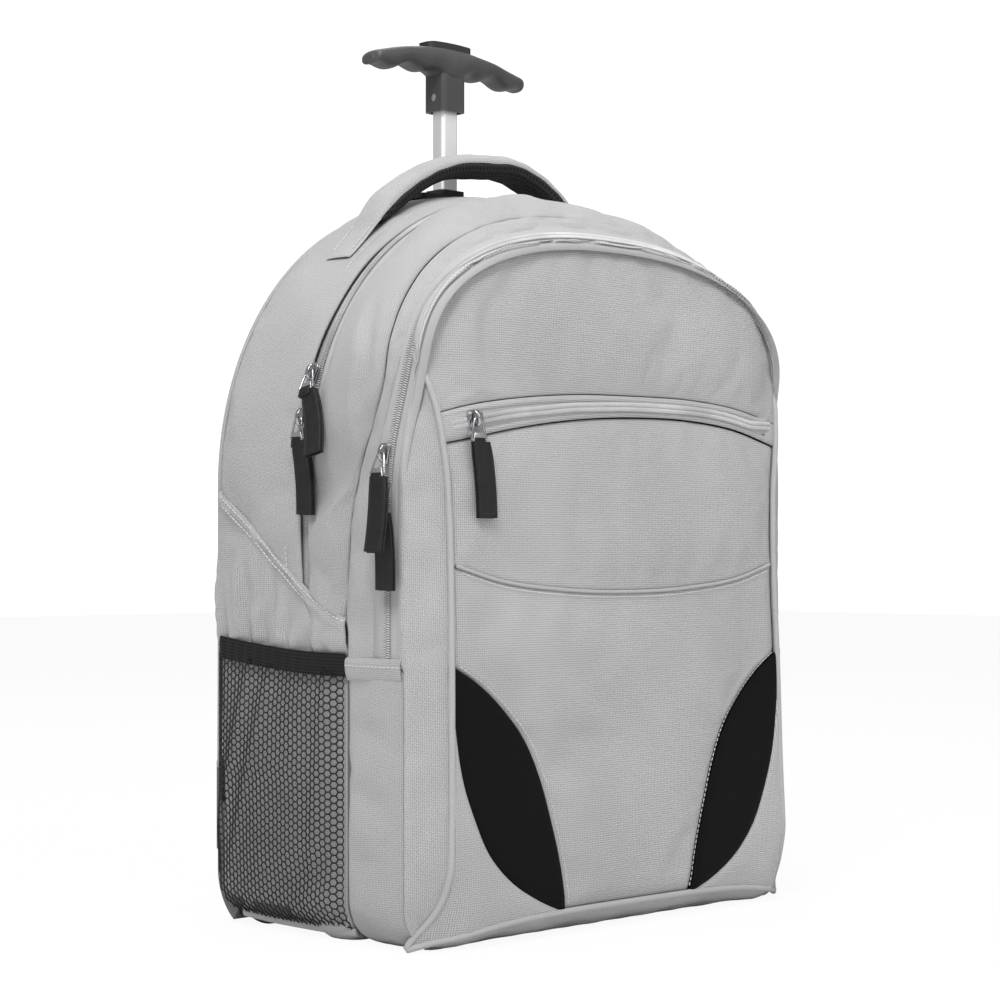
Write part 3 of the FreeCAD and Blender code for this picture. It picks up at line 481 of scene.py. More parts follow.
def canvas(name, low, high, thread=0.0011, sheen=0.12, rough=0.8):
    """Coated canvas: woven bump, slight colour change from thread to thread and cloudy soiling."""
    n = Nodes(name)
    vector, place = n.uv(), n.place()
    height = weave_height(n, vector, thread)
    slubs = n.noise(vector, 900.0, 2.0)
    clouds = n.noise(place, 9.0, 4.0)
    mixed = n.math("ADD", n.math("MULTIPLY", height, 0.66), n.math("MULTIPLY", slubs, 0.22))
    mixed = n.math("ADD", mixed, n.math("MULTIPLY", clouds, 0.12))
    n.put("Base Color", n.ramp(mixed, [(0.22, low), (0.82, high)]))
    n.put("Roughness", rough)
    n.put("Sheen Weight", sheen)
    n.put("Sheen Roughness", 0.5)
    n.put("Specular IOR Level", 0.25 if high > 0.1 else 0.10)
    fine = n.bump(height, 0.9, thread * 0.45)
    n.put("Normal", n.bump(clouds, 0.12, 0.004, fine))
    return n


def ribbed(name, low, high, pitch, direction=1, rough=0.7):
    """Elastic or webbing with ribs across uv direction 0 or 1."""
    n = Nodes(name)
    vector = n.uv()
    parts = n.add("ShaderNodeSeparateXYZ")
    n.link(vector, parts.inputs[0])
    wave = n.math("SINE", n.math("MULTIPLY", parts.outputs[direction], 2 * math.pi / pitch))
    cross = n.math("SINE", n.math("MULTIPLY", parts.outputs[1 - direction], 2 * math.pi / (pitch * 0.6)))
    height = n.math("ADD", n.math("MULTIPLY", wave, 0.4), n.math("MULTIPLY", cross, 0.12))
    height = n.math("ADD", height, 0.5)
    n.put("Base Color", n.ramp(height, [(0.1, low), (0.9, high)]))
    n.put("Roughness", rough)
    n.put("Specular IOR Level", 0.25)
    n.put("Normal", n.bump(height, 0.8, pitch * 0.25))
    return n


def air_mesh(name, low, high, cell):
    """Spacer mesh: a close grid of round holes in a knitted face."""
    n = Nodes(name)
    vector = n.uv()
    cells = n.add("ShaderNodeTexVoronoi", in_Scale=1.0 / cell, in_Randomness=0.12)
    n.link(vector, cells.inputs["Vector"])
    hole = n.math("SUBTRACT", 1.0, n.math("MULTIPLY", cells.outputs["Distance"], 1.5))
    pit = n.math("MULTIPLY", hole, -1.0)
    shade = n.math("SUBTRACT", 1.0, hole)
    n.put("Base Color", n.ramp(shade, [(0.15, low), (0.6, high)]))
    n.put("Roughness", 0.85)
    n.put("Specular IOR Level", 0.2)
    n.put("Normal", n.bump(pit, 0.9, cell * 0.35))
    return n


def moulded(name, low, high, grain=2600.0, rough=0.42, strength=0.25):
    """Moulded plastic with a fine spark grain and slightly polished patches."""
    n = Nodes(name)
    place = n.place()
    fine, patch = n.noise(place, grain, 2.0), n.noise(place, 28.0, 3.0)
    n.put("Base Color", n.ramp(patch, [(0.3, low), (0.75, high)]))
    n.put("Roughness", n.math("ADD", n.math("MULTIPLY", patch, 0.18), rough - 0.08))
    n.put("Normal", n.bump(fine, strength, 0.0002))
    return n


def metal(name, colour, rough, brushed=None, darker=0.85):
    """Metal. brushed stretches the scratches along one object axis."""
    n = Nodes(name)
    place = n.place()
    if brushed is not None:
        stretch = n.add("ShaderNodeMapping", in_Scale=tuple(8.0 if k == brushed else 2400.0 for k in range(3)))
        n.link(place, stretch.inputs["Vector"])
        scratch = n.noise(stretch.outputs[0], 1.0, 2.0)
    else:
        scratch = n.noise(place, 700.0, 3.0)
    dark = tuple(c * darker for c in colour)
    n.put("Base Color", n.ramp(scratch, [(0.3, dark), (0.7, colour)]))
    n.put("Metallic", 1.0)
    n.put("Roughness", n.math("ADD", n.math("MULTIPLY", scratch, 0.16), rough - 0.08))
    n.put("Normal", n.bump(scratch, 0.06, 0.0001))
    return n


def leather(name, low, high):
    n = Nodes(name)
    place = n.place()
    cells = n.add("ShaderNodeTexVoronoi", in_Scale=1500.0, feature="DISTANCE_TO_EDGE")
    n.link(place, cells.inputs["Vector"])
    grain = n.math("MINIMUM", n.math("MULTIPLY", cells.outputs["Distance"], 5.0), 1.0)
    patch = n.noise(place, 160.0, 3.0)
    n.put("Base Color", n.ramp(patch, [(0.3, low), (0.8, high)]))
    n.put("Specular IOR Level", 0.35)
    n.put("Roughness", n.math("ADD", n.math("MULTIPLY", patch, 0.2), 0.42))
    n.put("Normal", n.bump(grain, 0.35, 0.0002))
    return n


def make_materials():
    canvas("canvas_grey", 0.09, 0.86, thread=0.0013)
    canvas("canvas_side", 0.11, 0.77, thread=0.0012)
    canvas("canvas_black", 0.001, 0.010, sheen=0.0)
    canvas("piping_grey", 0.36, 0.52, thread=0.0008)
    canvas("tape_grey", 0.36, 0.50, thread=0.0007)
    canvas("lining_grey", 0.13, 0.2, thread=0.0006)
    ribbed("elastic_black", 0.002, 0.012, 0.0019)
    ribbed("webbing_black", 0.008, 0.034, 0.0019, direction=0)
    air_mesh("air_mesh_black", 0.004, 0.030, 0.0030)
    moulded("net_black", 0.006, 0.016, rough=0.7)
    moulded("coil_grey", 0.42, 0.60, rough=0.5)
    moulded("thread_grey", 0.58, 0.70, rough=0.8)
    moulded("thread_black", 0.012, 0.03, rough=0.75)
    moulded("grip_charcoal", 0.040, 0.060, rough=0.48)
    moulded("collar_charcoal", 0.045, 0.07, rough=0.42)
    moulded("button_black", 0.010, 0.020, rough=0.5)
    moulded("buckle_black", 0.010, 0.022, rough=0.4)
    moulded("housing_grey", 0.085, 0.125, rough=0.5)
    moulded("hub_black", 0.014, 0.03, rough=0.45)
    moulded("tyre_black", 0.010, 0.022, grain=1200.0, rough=0.75, strength=0.4)
    leather("tab_black", 0.003, 0.010)
    metal("zip_metal", (0.46, 0.46, 0.48), 0.20)
    metal("tube_aluminium", (0.98, 0.98, 0.98), 0.50, brushed=2, darker=0.95)
    metal("steel", (0.58, 0.58, 0.60), 0.32)


def finish(piece, material, body="bag"):
    """Material and the body it rides on."""
    piece.data.materials.clear()
    piece.data.materials.append(MATERIALS[material])
    if body:
        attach(piece, body)
    return piece


# ---- cloth ------------------------------------------------------------------------------------------------------------
def settle(piece, pin, pressure=1.5, grow=0.012, cap=5.0, frames=14, stiff=12.0, gravity=0.0):
    """Lets the cloth between pinned seams swell and buckle, then keeps the result. pin holds one weight per point."""
    mesh = piece.data
    group = piece.vertex_groups.new(name="pin")
    for weight in np.unique(np.round(pin, 2)):
        chosen = np.where(np.abs(np.round(pin, 2) - weight) < 1e-6)[0]
        group.add(chosen.tolist(), float(weight), "REPLACE")
    others = [(m, m.show_viewport) for m in piece.modifiers]
    for m, _ in others:
        m.show_viewport = False
    cloth = piece.modifiers.new("cloth", "CLOTH")
    s = cloth.settings
    s.quality = 6
    s.mass = 0.25
    s.tension_stiffness = s.compression_stiffness = stiff
    s.shear_stiffness = stiff * 0.5
    s.bending_stiffness = 0.8
    s.use_pressure = True
    s.uniform_pressure_force = pressure
    s.shrink_min = -grow
    s.vertex_group_mass = "pin"
    s.pin_stiffness = 1.0
    s.effector_weights.gravity = gravity
    cloth.collision_settings.use_collision = False
    cloth.point_cache.frame_start = 1
    cloth.point_cache.frame_end = frames + 1
    scene = bpy.context.scene
    for number in range(1, frames + 1):
        scene.frame_set(number)
    count = len(mesh.vertices)
    before, after = np.zeros(count * 3), np.zeros(count * 3)
    mesh.vertices.foreach_get("co", before)
    evaluated = piece.evaluated_get(bpy.context.evaluated_depsgraph_get()).to_mesh()
    evaluated.vertices.foreach_get("co", after)
    move = (after - before).reshape(-1, 3)
    length = np.linalg.norm(move, axis=1, keepdims=True)
    limit = cap * MM
    move *= limit * np.tanh(length / limit) / np.maximum(length, 1e-9)
    mesh.vertices.foreach_set("co", (before.reshape(-1, 3) + move).ravel())
    piece.modifiers.remove(cloth)
    for m, shown in others:
        m.show_viewport = shown
    scene.frame_set(1)
    mesh.update()
    return piece


def edge_pin(rows, cols, reach=1, rows_too=False):
    """Pin weights of a grid: seams at both long edges hold, and ease off over reach columns."""
    j = np.arange(cols)
    near = np.minimum(j, cols - 1 - j)
    weight = np.clip(1 - near / (reach + 0.001), 0, 1)
    weight = np.broadcast_to(weight, (rows, cols)).copy()
    if rows_too:
        i = np.arange(rows)
        row_near = np.minimum(i, rows - 1 - i)
        weight = np.maximum(weight, np.clip(1 - row_near / (reach + 0.001), 0, 1)[:, None])
    return weight.ravel()


# ---- body strips ------------------------------------------------------------------------------------------------------
def side_cover(points):
    """1 where the lower side panel covers a point of the skin, easing to 0 just above its top seam."""
    x, y, z = points[..., 0], points[..., 1], points[..., 2]
    inside = (1 - smoothstep(z, diagonal_z(y) - 10, diagonal_z(y) - 3)) * smoothstep(z, 8, 20)
    return inside * smoothstep(np.abs(x), 150, 160) * smoothstep(y, -39, -35.5)


def body_strip(name, y_front, y_rear, cols, puff, seed, tuck=(2.2, 2.2), wrinkle=0.8):
    """Cloth round the whole bag between two seams, given as one depth per ring station."""
    v = np.linspace(0, 1, cols)
    y = y_front[:, None] * (1 - v) + y_rear[:, None] * v
    base = RING.at(y)
    normal = grid_normals(base, True)
    uv = grid_uv(base, True)
    width = (y_rear - y_front)[:, None]
    from_front, from_rear = width * v, width * (1 - v)
    swell = puff * (1 - (2 * v - 1) ** 2) ** 0.7
    dip = tuck[0] * np.exp(-((from_front / 3.0) ** 2)) + tuck[1] * np.exp(-((from_rear / 3.0) ** 2))
    folds = wrinkle * ripple(uv[..., 0], uv[..., 1] * 0.7, 55.0, seed) * (1 - (2 * v - 1) ** 4)
    height = swell - dip + folds
    cover = side_cover(base)
    lift = height * (1 - cover) - 7.0 * cover
    return base + normal * lift[..., None], normal, uv


def rear_gusset():
    """Wide rear strip whose front edge is a hemmed storm flap that stands over the main zip."""
    y_front, z = along_ring(flap_edge_y)
    y_rear = np.full(len(z), BACK_Y - 0.5)
    cols = 26
    points, normal, uv = body_strip("rear", y_front, y_rear, cols, 1.2, 11, tuck=(0.0, 2.0), wrinkle=0.9)
    above = smoothstep(z, 196, 222)
    along = uv[:, :1, 0]
    wave = 1.0 + 0.7 * ripple(along, 0 * along, 90.0, 12)
    v = np.linspace(0, 1, cols)
    lift = (np.exp(-((v * 78 / 14.0) ** 2)) * wave) * above[:, None]
    top = smoothstep(z, 360, 440)[:, None]
    lift = lift + top * (-1.6 + 1.2 * ripple(along, 0 * along, 130.0, 13)) * np.exp(-((v * 78 / 12.0) ** 2))
    points = points + normal * lift[..., None]
    rows = len(points)
    hem = []
    for back, down in ((0.5, 1.6), (2.6, 2.6), (12.0, 2.6)):
        ring = points[:, 0] - normal[:, 0] * down
        ring = ring + np.array([0, back, 0])
        hem.append(ring)
    hem = np.stack(hem[::-1], 1)
    points = np.concatenate([hem, points], 1)
    piece = sheet("rear_gusset_cloth", points, close_rows=True)
    pin = edge_pin(rows, points.shape[1], 1.0)
    covered = side_cover(points).ravel()
    near_flap = np.broadcast_to(np.arange(points.shape[1]) < 5, (rows, points.shape[1])).ravel()
    from_foot = np.hypot((np.abs(points[..., 0]) - 108) / 17, (points[..., 1] - HANDLE_Y) / 19).ravel()
    feet = 0.98 * (1 - smoothstep(from_foot, 0.8, 1.5)) * (points[..., 2] > 300).ravel()
    pin = np.maximum.reduce([pin, covered, near_flap * 0.9, feet])
    settle(piece, np.clip(pin, 0, 1), pressure=1.2, grow=0.010, cap=3.5)
    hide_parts("rear_gusset")
    finish(piece, "canvas_side")
    flap = points[:, 3 + 4]
    shown = ring_span(RING.height > 214)
    stitches("flap_stitches", flap[shown], normal[shown][:, 4], width=0.45, lift=0.5)
    return piece


def ring_span(mask):
    """Ring stations where mask holds, in order up the -X side, over the top and down the +X side."""
    order = np.arange(len(RING.kind))
    return order[mask[order]]


def seam_depth(z, depth):
    """Depth of the seam between the compartments. It is pulled flat over the arch."""
    return (depth * (1 - 0.85 * smoothstep(z, 305, 345)))[:, None]


def front_gusset():
    """Front half of the main compartment, from the main zip to the seam of the front compartment."""
    y_front, z = along_ring(main_seam_y)
    cols = 17
    y_rear = np.full(len(z), MAIN_ZIP_Y - 2.0)
    points, normal, uv = body_strip("front", y_front, y_rear, cols, 3.2, 21, tuck=(seam_depth(z, 2.4), 1.0), wrinkle=1.3)
    top = smoothstep(z, 330, 420)[:, None]
    v = np.linspace(0, 1, cols)
    sag = top * (1.8 * ripple(uv[..., 0], uv[..., 1] * 0.4, 70.0, 23)) * (1 - (2 * v - 1) ** 4)
    upper = smoothstep(z, 250, 400)[:, None]
    sag = sag - upper * 3.6 * smoothstep(v, 0.66, 0.98) + upper * 1.6 * np.exp(-(((v - 0.40) / 0.22) ** 2))
    sag = sag - top * 3.6 * np.sin(v * math.pi) ** 0.5 - top * 2.4 * smoothstep(v, 0.6, 0.95)
    x, y = points[..., 0], points[..., 1]
    crease_y = -51.5 - 4.5 * np.exp(-(((z[:, None] - 338) / 13.0) ** 2)) + 3.0 * smoothstep(z[:, None], 345, 375)
    near = smoothstep(z[:, None], 300, 322) * (1 - smoothstep(z[:, None], 352, 378))
    sag = sag - 2.6 * near * np.exp(-(((y - crease_y) / 2.6) ** 2)) + 1.4 * near * np.exp(-(((y - crease_y - 8) / 6) ** 2))
    points = points + normal * sag[..., None]
    lip = np.stack([points[:, -1] - normal[:, -1] * d + np.array([0, b, 0]) for d, b in ((2.0, 0.4), (5.0, -0.5))], 1)
    points = np.concatenate([points, lip], 1)
    piece = sheet("front_gusset_cloth", points, close_rows=True)
    rows, cols = points.shape[:2]
    pin = np.maximum(edge_pin(rows, cols, 1.0), side_cover(points).ravel())
    settle(piece, np.clip(pin, 0, 1), pressure=1.6, grow=0.022, cap=4.5)
    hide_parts("front_gusset")
    finish(piece, "canvas_side")


def border_y(z):
    """Where the front border starts: at the zip, and below the zip's end at the soft corner."""
    above = smoothstep(z, SEAM_Z - 3, SEAM_Z)
    return front_zip_y(z) * above + (FOLD_Y + 0.5) * (1 - above)


def zip_gap(z, rear=False):
    """Opening on one side of the front zip: nothing below the cross seam."""
    wide = 10.5 - 6.5 * smoothstep(z, 230, 350) if rear else 5.4 - 2.6 * smoothstep(z, 340, 400)
    return wide * smoothstep(z, SEAM_Z - 1, SEAM_Z + 2)


def front_compartment():
    y_rear, _ = along_ring(main_seam_y)
    y_front, z = along_ring(lambda height: border_y(height) + zip_gap(height, rear=True))
    cols = 14
    points, normal, uv = body_strip("compartment", y_front, y_rear, cols, 1.2, 31, tuck=(0.3, seam_depth(z, 2.0)), wrinkle=0.4)
    lip = np.stack([points[:, 0] - normal[:, 0] * d + np.array([0, b, 0]) for d, b in ((2.6, 1.6), (1.2, -0.1))], 1)
    points = np.concatenate([lip, points], 1)
    piece = sheet("front_compartment_cloth", points, close_rows=True)
    rows, cols = points.shape[:2]
    pin = edge_pin(rows, cols, 1.5).reshape(rows, cols)
    pin[:, :5] = (1.0, 1.0, 1.0, 0.95, 0.6)  # the hem beside the zip
    settle(piece, pin.ravel(), pressure=1.2, grow=0.010, cap=2.5)
    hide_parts("front_compartment_gusset")
    finish(piece, "canvas_side")
    y = np.linspace(-37.6, -83.0, 24)
    wall = -hermite(y, STATIONS[:, 0], STATIONS[:, 1])
    puff = 1.6 * np.sin(np.clip((y + 36) / -48.0, 0, 1) * math.pi) ** 0.5
    for name, flip in (("left", 1), ("right", -1)):
        drops = np.array([(-0.8, -1.2), (0.9, 0.2), (1.3, 1.6), (1.1, 5.5), (0.7, 9.0), (-0.8, 13.0)])
        grid = np.stack([np.stack([wall - puff - out, y, 0 * y + SEAM_Z - down], 1) for out, down in drops], 1)
        piece = sheet(f"cross_seam_cloth_{name}", grid * [flip, 1, 1], flip=flip > 0, thickness=0.7)
        finish(piece, "canvas_side")
        path = np.stack([wall - puff - 1.25, y, 0 * y + SEAM_Z - 4.0], 1)[1:-1] * [flip, 1, 1]
        stitches(f"cross_seam_stitches_{name}", path, np.tile([-1.0 * flip, 0, 0], (len(path), 1)), width=0.5)


def border_points(rows_inner=5, rows_outer=9):
    """Grid from the front zip, round the soft corner and down to the panel's edge."""
    start, z = along_ring(lambda height: border_y(height) - zip_gap(height))
    fold = np.minimum(FOLD_Y, start - 2.0)
    a = np.linspace(0, 1, rows_inner)
    flat = RING.at(start[:, None] * (1 - a) + fold[:, None] * a)
    edge = panel_outline(RING)
    b = np.linspace(0, 1, rows_outer + 1)[1:]
    bridge = flat[:, -1][:, None] * (1 - b)[None, :, None] + edge[:, None] * b[None, :, None]
    points = np.concatenate([flat, bridge], 1)
    return points, edge


def front_border():
    points, edge = border_points()
    normal = -grid_normals(points, True)
    cols = points.shape[1]
    span = np.linalg.norm(edge - points[:, 4], axis=1)[:, None]
    v = np.clip((np.arange(cols) - 4) / (cols - 5), 0, 1)[None]
    hollow = -0.085 * span * np.sin(v * math.pi)
    shoulder = 1.2 * np.exp(-(((np.arange(cols) - 4) / 1.6) ** 2))[None] - 0.8 * (np.arange(cols) == 4)[None]
    low = RING.kind == 0
    belly = np.where(low, 3.0, 0.0)[:, None] * np.sin(v * math.pi)
    height = hollow * np.where(low, 0, 1)[:, None] + shoulder * np.where(low, 0.3, 1.0)[:, None] + belly
    height = height - 1.3 * np.exp(-((np.arange(cols) / 0.8) ** 2))[None]
    uv = grid_uv(points, True)
    height = height + 0.5 * ripple(uv[..., 0], uv[..., 1], 60.0, 41) * np.sin(v * math.pi)
    points = points + normal * height[..., None]
    over_arch = smoothstep(points[:, -1, 2], 325, 350)
    points[:, -1, 1] += 1.6 * over_arch
    points[:, -2, 1] += 0.8 * over_arch
    piece = sheet("front_border_cloth", points, close_rows=True, flip=True)
    rows = len(points)
    pin = edge_pin(rows, cols, 1.5).reshape(rows, cols)
    pin[:, :4] = (1.0, 1.0, 0.9, 0.5)
    settle(piece, pin.ravel(), pressure=0.4, grow=0.008, cap=2.0)
    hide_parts("front_border")
    finish(piece, "canvas_grey")
    return edge


def front_piping(edge):
    """Cord in a cloth sleeve along the sides and bottom of the front panel."""
    shown = (RING.kind != 3) | (RING.share < 0.04)
    start = int(np.where(~shown)[0][-1]) + 1
    order = np.roll(np.arange(len(RING.kind)), -start)
    order = order[shown[order]]
    tuck = 1 - smoothstep(edge[order][:, 2], 318, 334)
    path = edge[order] + np.array([0, -0.7, 0]) * tuck[:, None] + np.array([0, 3.0, 0]) * (1 - tuck)[:, None]
    out = np.tile([0.0, -1.0, 0.0], (len(path), 1))
    path, out = resample(path, 2.5, out)
    cord = sweep("front_piping_cord", path, out, round_section(1.9, 1.9, 10))
    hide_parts("front_piping")
    finish(cord, "piping_grey")


# ---- front panels -----------------------------------------------------------------------------------------------------
def coons(low, high, left, right):
    """Grid between four edge curves of (x, z) points. low and high run left to right, left and right run upwards."""
    nu, nv = len(low), len(left)
    u, v = np.linspace(0, 1, nu)[:, None, None], np.linspace(0, 1, nv)[None, :, None]
    ruled_v = (1 - v) * low[:, None] + v * high[:, None]
    ruled_u = (1 - u) * left[None] + u * right[None]
    corners = (1 - u) * (1 - v) * low[0] + u * (1 - v) * low[-1] + (1 - u) * v * high[0] + u * v * high[-1]
    return ruled_v + ruled_u - corners


def curve_xz(points, count):
    """Smooth curve through a few (x, z) points, at equal steps."""
    points = np.asarray(points, float)
    t = np.concatenate([[0], np.cumsum(np.linalg.norm(np.diff(points, axis=0), axis=1))])
    fine = np.linspace(0, t[-1], count * 6)
    dense = np.stack([hermite(fine, t, points[:, 0]), hermite(fine, t, points[:, 1]), 0 * fine], 1)
    where = np.concatenate([[0], np.cumsum(np.linalg.norm(np.diff(dense, axis=0), axis=1))])
    want = np.linspace(0, where[-1], count)
    return np.stack([np.interp(want, where, dense[:, 0]), np.interp(want, where, dense[:, 1])], 1)


def grid_edge_distance(grid):
    """Distance of every grid point to the nearest of the grid's four edges, measured along the grid."""
    du = np.linalg.norm(np.diff(grid, axis=0), axis=-1)
    dv = np.linalg.norm(np.diff(grid, axis=1), axis=-1)
    u = np.concatenate([np.zeros((1, grid.shape[1])), np.cumsum(du, 0)])
    v = np.concatenate([np.zeros((grid.shape[0], 1)), np.cumsum(dv, 1)], 1)
    return np.minimum(np.minimum(u, u[-1:] - u), np.minimum(v, v[:, -1:] - v))


def front_sheet(name, grid, node, material="canvas_grey", sink=1.7, reach=3.2, raise_by=0.0,
                puff=0.0, sim=None, extra=None):  # fmt: skip
    """Cloth panel on the front face. Its edges are drawn in to the seams."""
    x, z = grid[..., 0], grid[..., 1]
    distance = grid_edge_distance(grid)
    out = raise_by - sink * np.exp(-((distance / reach) ** 2)) + puff * (1 - np.exp(-distance / 22.0))
    if extra is not None:
        out = out + extra(x, z)
    smile_gap = np.abs(z - np.interp(x, [q[0] for q in SMILE], [q[1] for q in SMILE]))
    out = out + 1.1 * sink * np.exp(-((smile_gap / reach) ** 2))
    y = front_y(x, z) - out
    points = np.stack([x, y, z], -1)
    piece = sheet(name, points, flip=False, uv=np.stack([x, z], -1))
    rows, cols = points.shape[:2]
    if sim:
        settle(piece, edge_pin(rows, cols, 1.5, rows_too=True), **sim)
    if node:
        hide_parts(*node)
    finish(piece, material)
    return piece


ZIP_TOP = [(-151, 301), (-126, 307), (-91, 312.5), (-41, 317), (11, 318.5), (66, 318.5), (104, 315.5), (150, 307)]
ZIP_LOW = [(-149, 284), (-127, 288), (-91, 295), (-41, 302), (11, 305.5), (66, 305.5), (104, 302), (149, 292)]
SMILE = [(-138, 216), (-105, 207.5), (-57, 202), (0, 200), (57, 202), (105, 207.5), (138, 216)]


def side_run(z_low, z_high, sign, count):
    z = np.linspace(z_low, z_high, count)
    return np.stack([sign * edge_half(z), z], 1)


def upper_panel():
    count, rise = 85, 34
    low = curve_xz(ZIP_TOP, count)
    z0, z1 = low[0][1], low[-1][1]
    angles = np.linspace(math.pi, 0, count)
    across, up = np.cos(angles), np.clip(np.sin(angles), 0, 1)
    across = np.sign(across) * np.abs(across) ** ARCH_FULLNESS
    high = np.stack([ARCH_HALF * across, ARCH_SPRING + (FRONT_TOP - ARCH_SPRING) * up**ARCH_FULLNESS], 1)
    low[0][0], low[-1][0] = -edge_half(z0), edge_half(z1)
    left, right = side_run(z0, ARCH_SPRING, -1, rise), side_run(z1, ARCH_SPRING, 1, rise)
    left[-1], right[-1] = high[0], high[-1]
    grid = coons(low, high, left, right)
    front_sheet("upper_front_cloth", grid, ["upper_front_panel"], sink=0.5, raise_by=0.4, puff=2.4,
                sim=dict(pressure=0.8, grow=0.008, cap=2.5))  # fmt: skip


def pocket_panels():
    count = 80
    high = curve_xz(ZIP_LOW, count)
    low = curve_xz(SMILE, count)
    high[0][0], high[-1][0] = -edge_half(high[0][1]), edge_half(high[-1][1])
    low[0][0], low[-1][0] = -edge_half(low[0][1]), edge_half(low[-1][1])
    grid = coons(low, high, side_run(low[0][1], high[0][1], -1, 26), side_run(low[-1][1], high[-1][1], 1, 26))
    front_sheet("pocket_cloth", grid, ["pocket_panel"], puff=1.8, sim=dict(pressure=0.7, grow=0.008, cap=2.5))
    seam = curve_xz(SMILE, 200)
    path = np.stack([seam[:, 0], front_y(seam[:, 0], seam[:, 1]) - 1.2, seam[:, 1] - 3.0], 1)
    fold = sweep("smile_fold", path + [0, 0.5, 3.0], np.tile([0.0, -1.0, 0.0], (len(path), 1)), round_section(1.1, 0.7, 8))
    finish(fold, "piping_grey")
    stitches("smile_stitches", path[4:-4], np.tile([0.0, -1.0, 0.0], (len(path) - 8, 1)), width=0.5)


LEAF_IN = [(-143, 160), (-121, 147), (-103, 132), (-88, 115), (-77, 94), (-68, 68), (-60, 40), (-55, 13.3)]
LEAF_OUT = [(-143, 160), (-143, 140), (-141, 122), (-136, 95), (-128, 74), (-116, 52), (-98, 34), (-77, 22), (-55, 13.3)]


def lower_panels():
    """Middle panel between the two black leaves, the leaves, and the grey corners below them."""
    rows, cols = 46, 44
    low_z = LEAF_IN[-1][1]
    top = curve_xz(SMILE, cols)
    top[0][0], top[-1][0] = -edge_half(top[0][1]), edge_half(top[-1][1])
    straight = side_run(LEAF_IN[0][1], top[0][1], -1, 12)
    inner = curve_xz(LEAF_IN[::-1], rows - 11)
    left = np.concatenate([inner, straight[1:]])
    left = resample(np.insert(left, 2, 0, axis=1), 1.0)[:, :2]
    left = left[np.linspace(0, len(left) - 1, rows).round().astype(int)]
    right = left * [-1, 1]
    right[-1] = top[-1]
    left[-1] = top[0]
    x = np.linspace(left[0][0], right[0][0], cols)
    low = np.stack([x, bottom_seam_z(x)], 1)
    left[0], right[0] = low[0], low[-1]
    grid = coons(low, top, left, right)
    front_sheet("lower_front_cloth", grid, ["lower_front_panel"], puff=1.8, sim=dict(pressure=0.7, grow=0.008, cap=2.5))

    count = 40
    inner, outer = curve_xz(LEAF_IN, count), curve_xz(LEAF_OUT, count)
    for side, name in ((1, "left"), (-1, "right")):
        leaf_grid = np.stack([outer * (1 - t) + inner * t for t in np.linspace(0, 1, 14)], 1)
        limit = edge_half(leaf_grid[..., 1]) - 0.4
        leaf_grid[..., 0] = np.clip(leaf_grid[..., 0], -limit, limit)
        leaf_grid = leaf_grid * [side, 1]
        if side < 0:
            leaf_grid = leaf_grid[:, ::-1]
        leaf_grid = leaf_grid[::-1]
        node = ["accent_panels"] if side > 0 else []
        front_sheet(f"accent_cloth_{name}", leaf_grid, node, "canvas_black", sink=1.2, reach=2.4,
                    raise_by=0.2)  # fmt: skip
        edge_z = np.linspace(LEAF_OUT[0][1], 3.0, count)
        border = np.stack([-edge_half(edge_z), edge_z], 1)
        corner_floor_x = np.linspace(border[-1][0], LEAF_OUT[-1][0], 30)
        floor = np.stack([corner_floor_x, bottom_seam_z(corner_floor_x)], 1)
        border = np.concatenate([border, floor[1:]])
        border = resample(np.insert(border, 2, 0, axis=1), 1.0)[:, :2]
        border = border[np.linspace(0, len(border) - 1, 64).round().astype(int)]
        leaf = curve_xz(LEAF_OUT, 64)
        corner_grid = np.stack([border * (1 - t) + leaf * t for t in np.linspace(0, 1, 12)], 1) * [side, 1]
        if side < 0:
            corner_grid = corner_grid[:, ::-1]
        corner_grid = corner_grid[::-1]
        front_sheet(f"corner_cloth_{name}", corner_grid, [], sink=1.2, reach=2.4)
        path2 = curve_xz(np.array(LEAF_IN) + [2.6, 1.2], 120) * [side, 1]
        path = np.stack([path2[:, 0], front_y(path2[:, 0], path2[:, 1]) - 0.9, path2[:, 1]], 1)
        stitches(f"accent_stitches_{name}", path[3:-3], np.tile([0.0, -1.0, 0.0], (len(path) - 6, 1)), width=0.45)


# ---- zips -------------------------------------------------------------------------------------------------------------
def zip_chain(name, path, normal, node, half=1.7, tape=6.0, pitch=1.35, body="bag"):
    """Tape with two rows of coil along a path. The zip's centre line is the path."""
    path, normal = resample(path, 2.5, normal)
    tangent, out, side = frames_along(path, normal)
    section = [(-tape, -0.9), (tape, -0.9), (tape, -0.3), (2.8, -0.1), (0.4, 0.0), (-0.4, 0.0), (-2.8, -0.1), (-tape, -0.3)]
    strip = sweep(f"{name}_tape", path, normal, section)
    if node:
        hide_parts(node)
    finish(strip, "tape_grey", body)
    path, normal = resample(path, pitch, normal)
    tangent, out, side = frames_along(path, normal)
    loop = capsule(3.0, 1.0, 1.7)
    rows = []
    for sign in (-1, 1):
        shift = tangent * (pitch * 0.5 if sign > 0 else 0)
        rows.append(path + side * sign * half * 0.8 + out * 0.7 + shift)
    origins = np.concatenate(rows)
    lean = np.concatenate([side + tangent * 0.15, side - tangent * 0.15])
    lean /= np.linalg.norm(lean, axis=1, keepdims=True)
    double_out = np.concatenate([out, out])
    coil = scatter(f"{name}_coil", loop, origins, lean, np.cross(double_out, lean), double_out)
    finish(coil, "coil_grey", body)


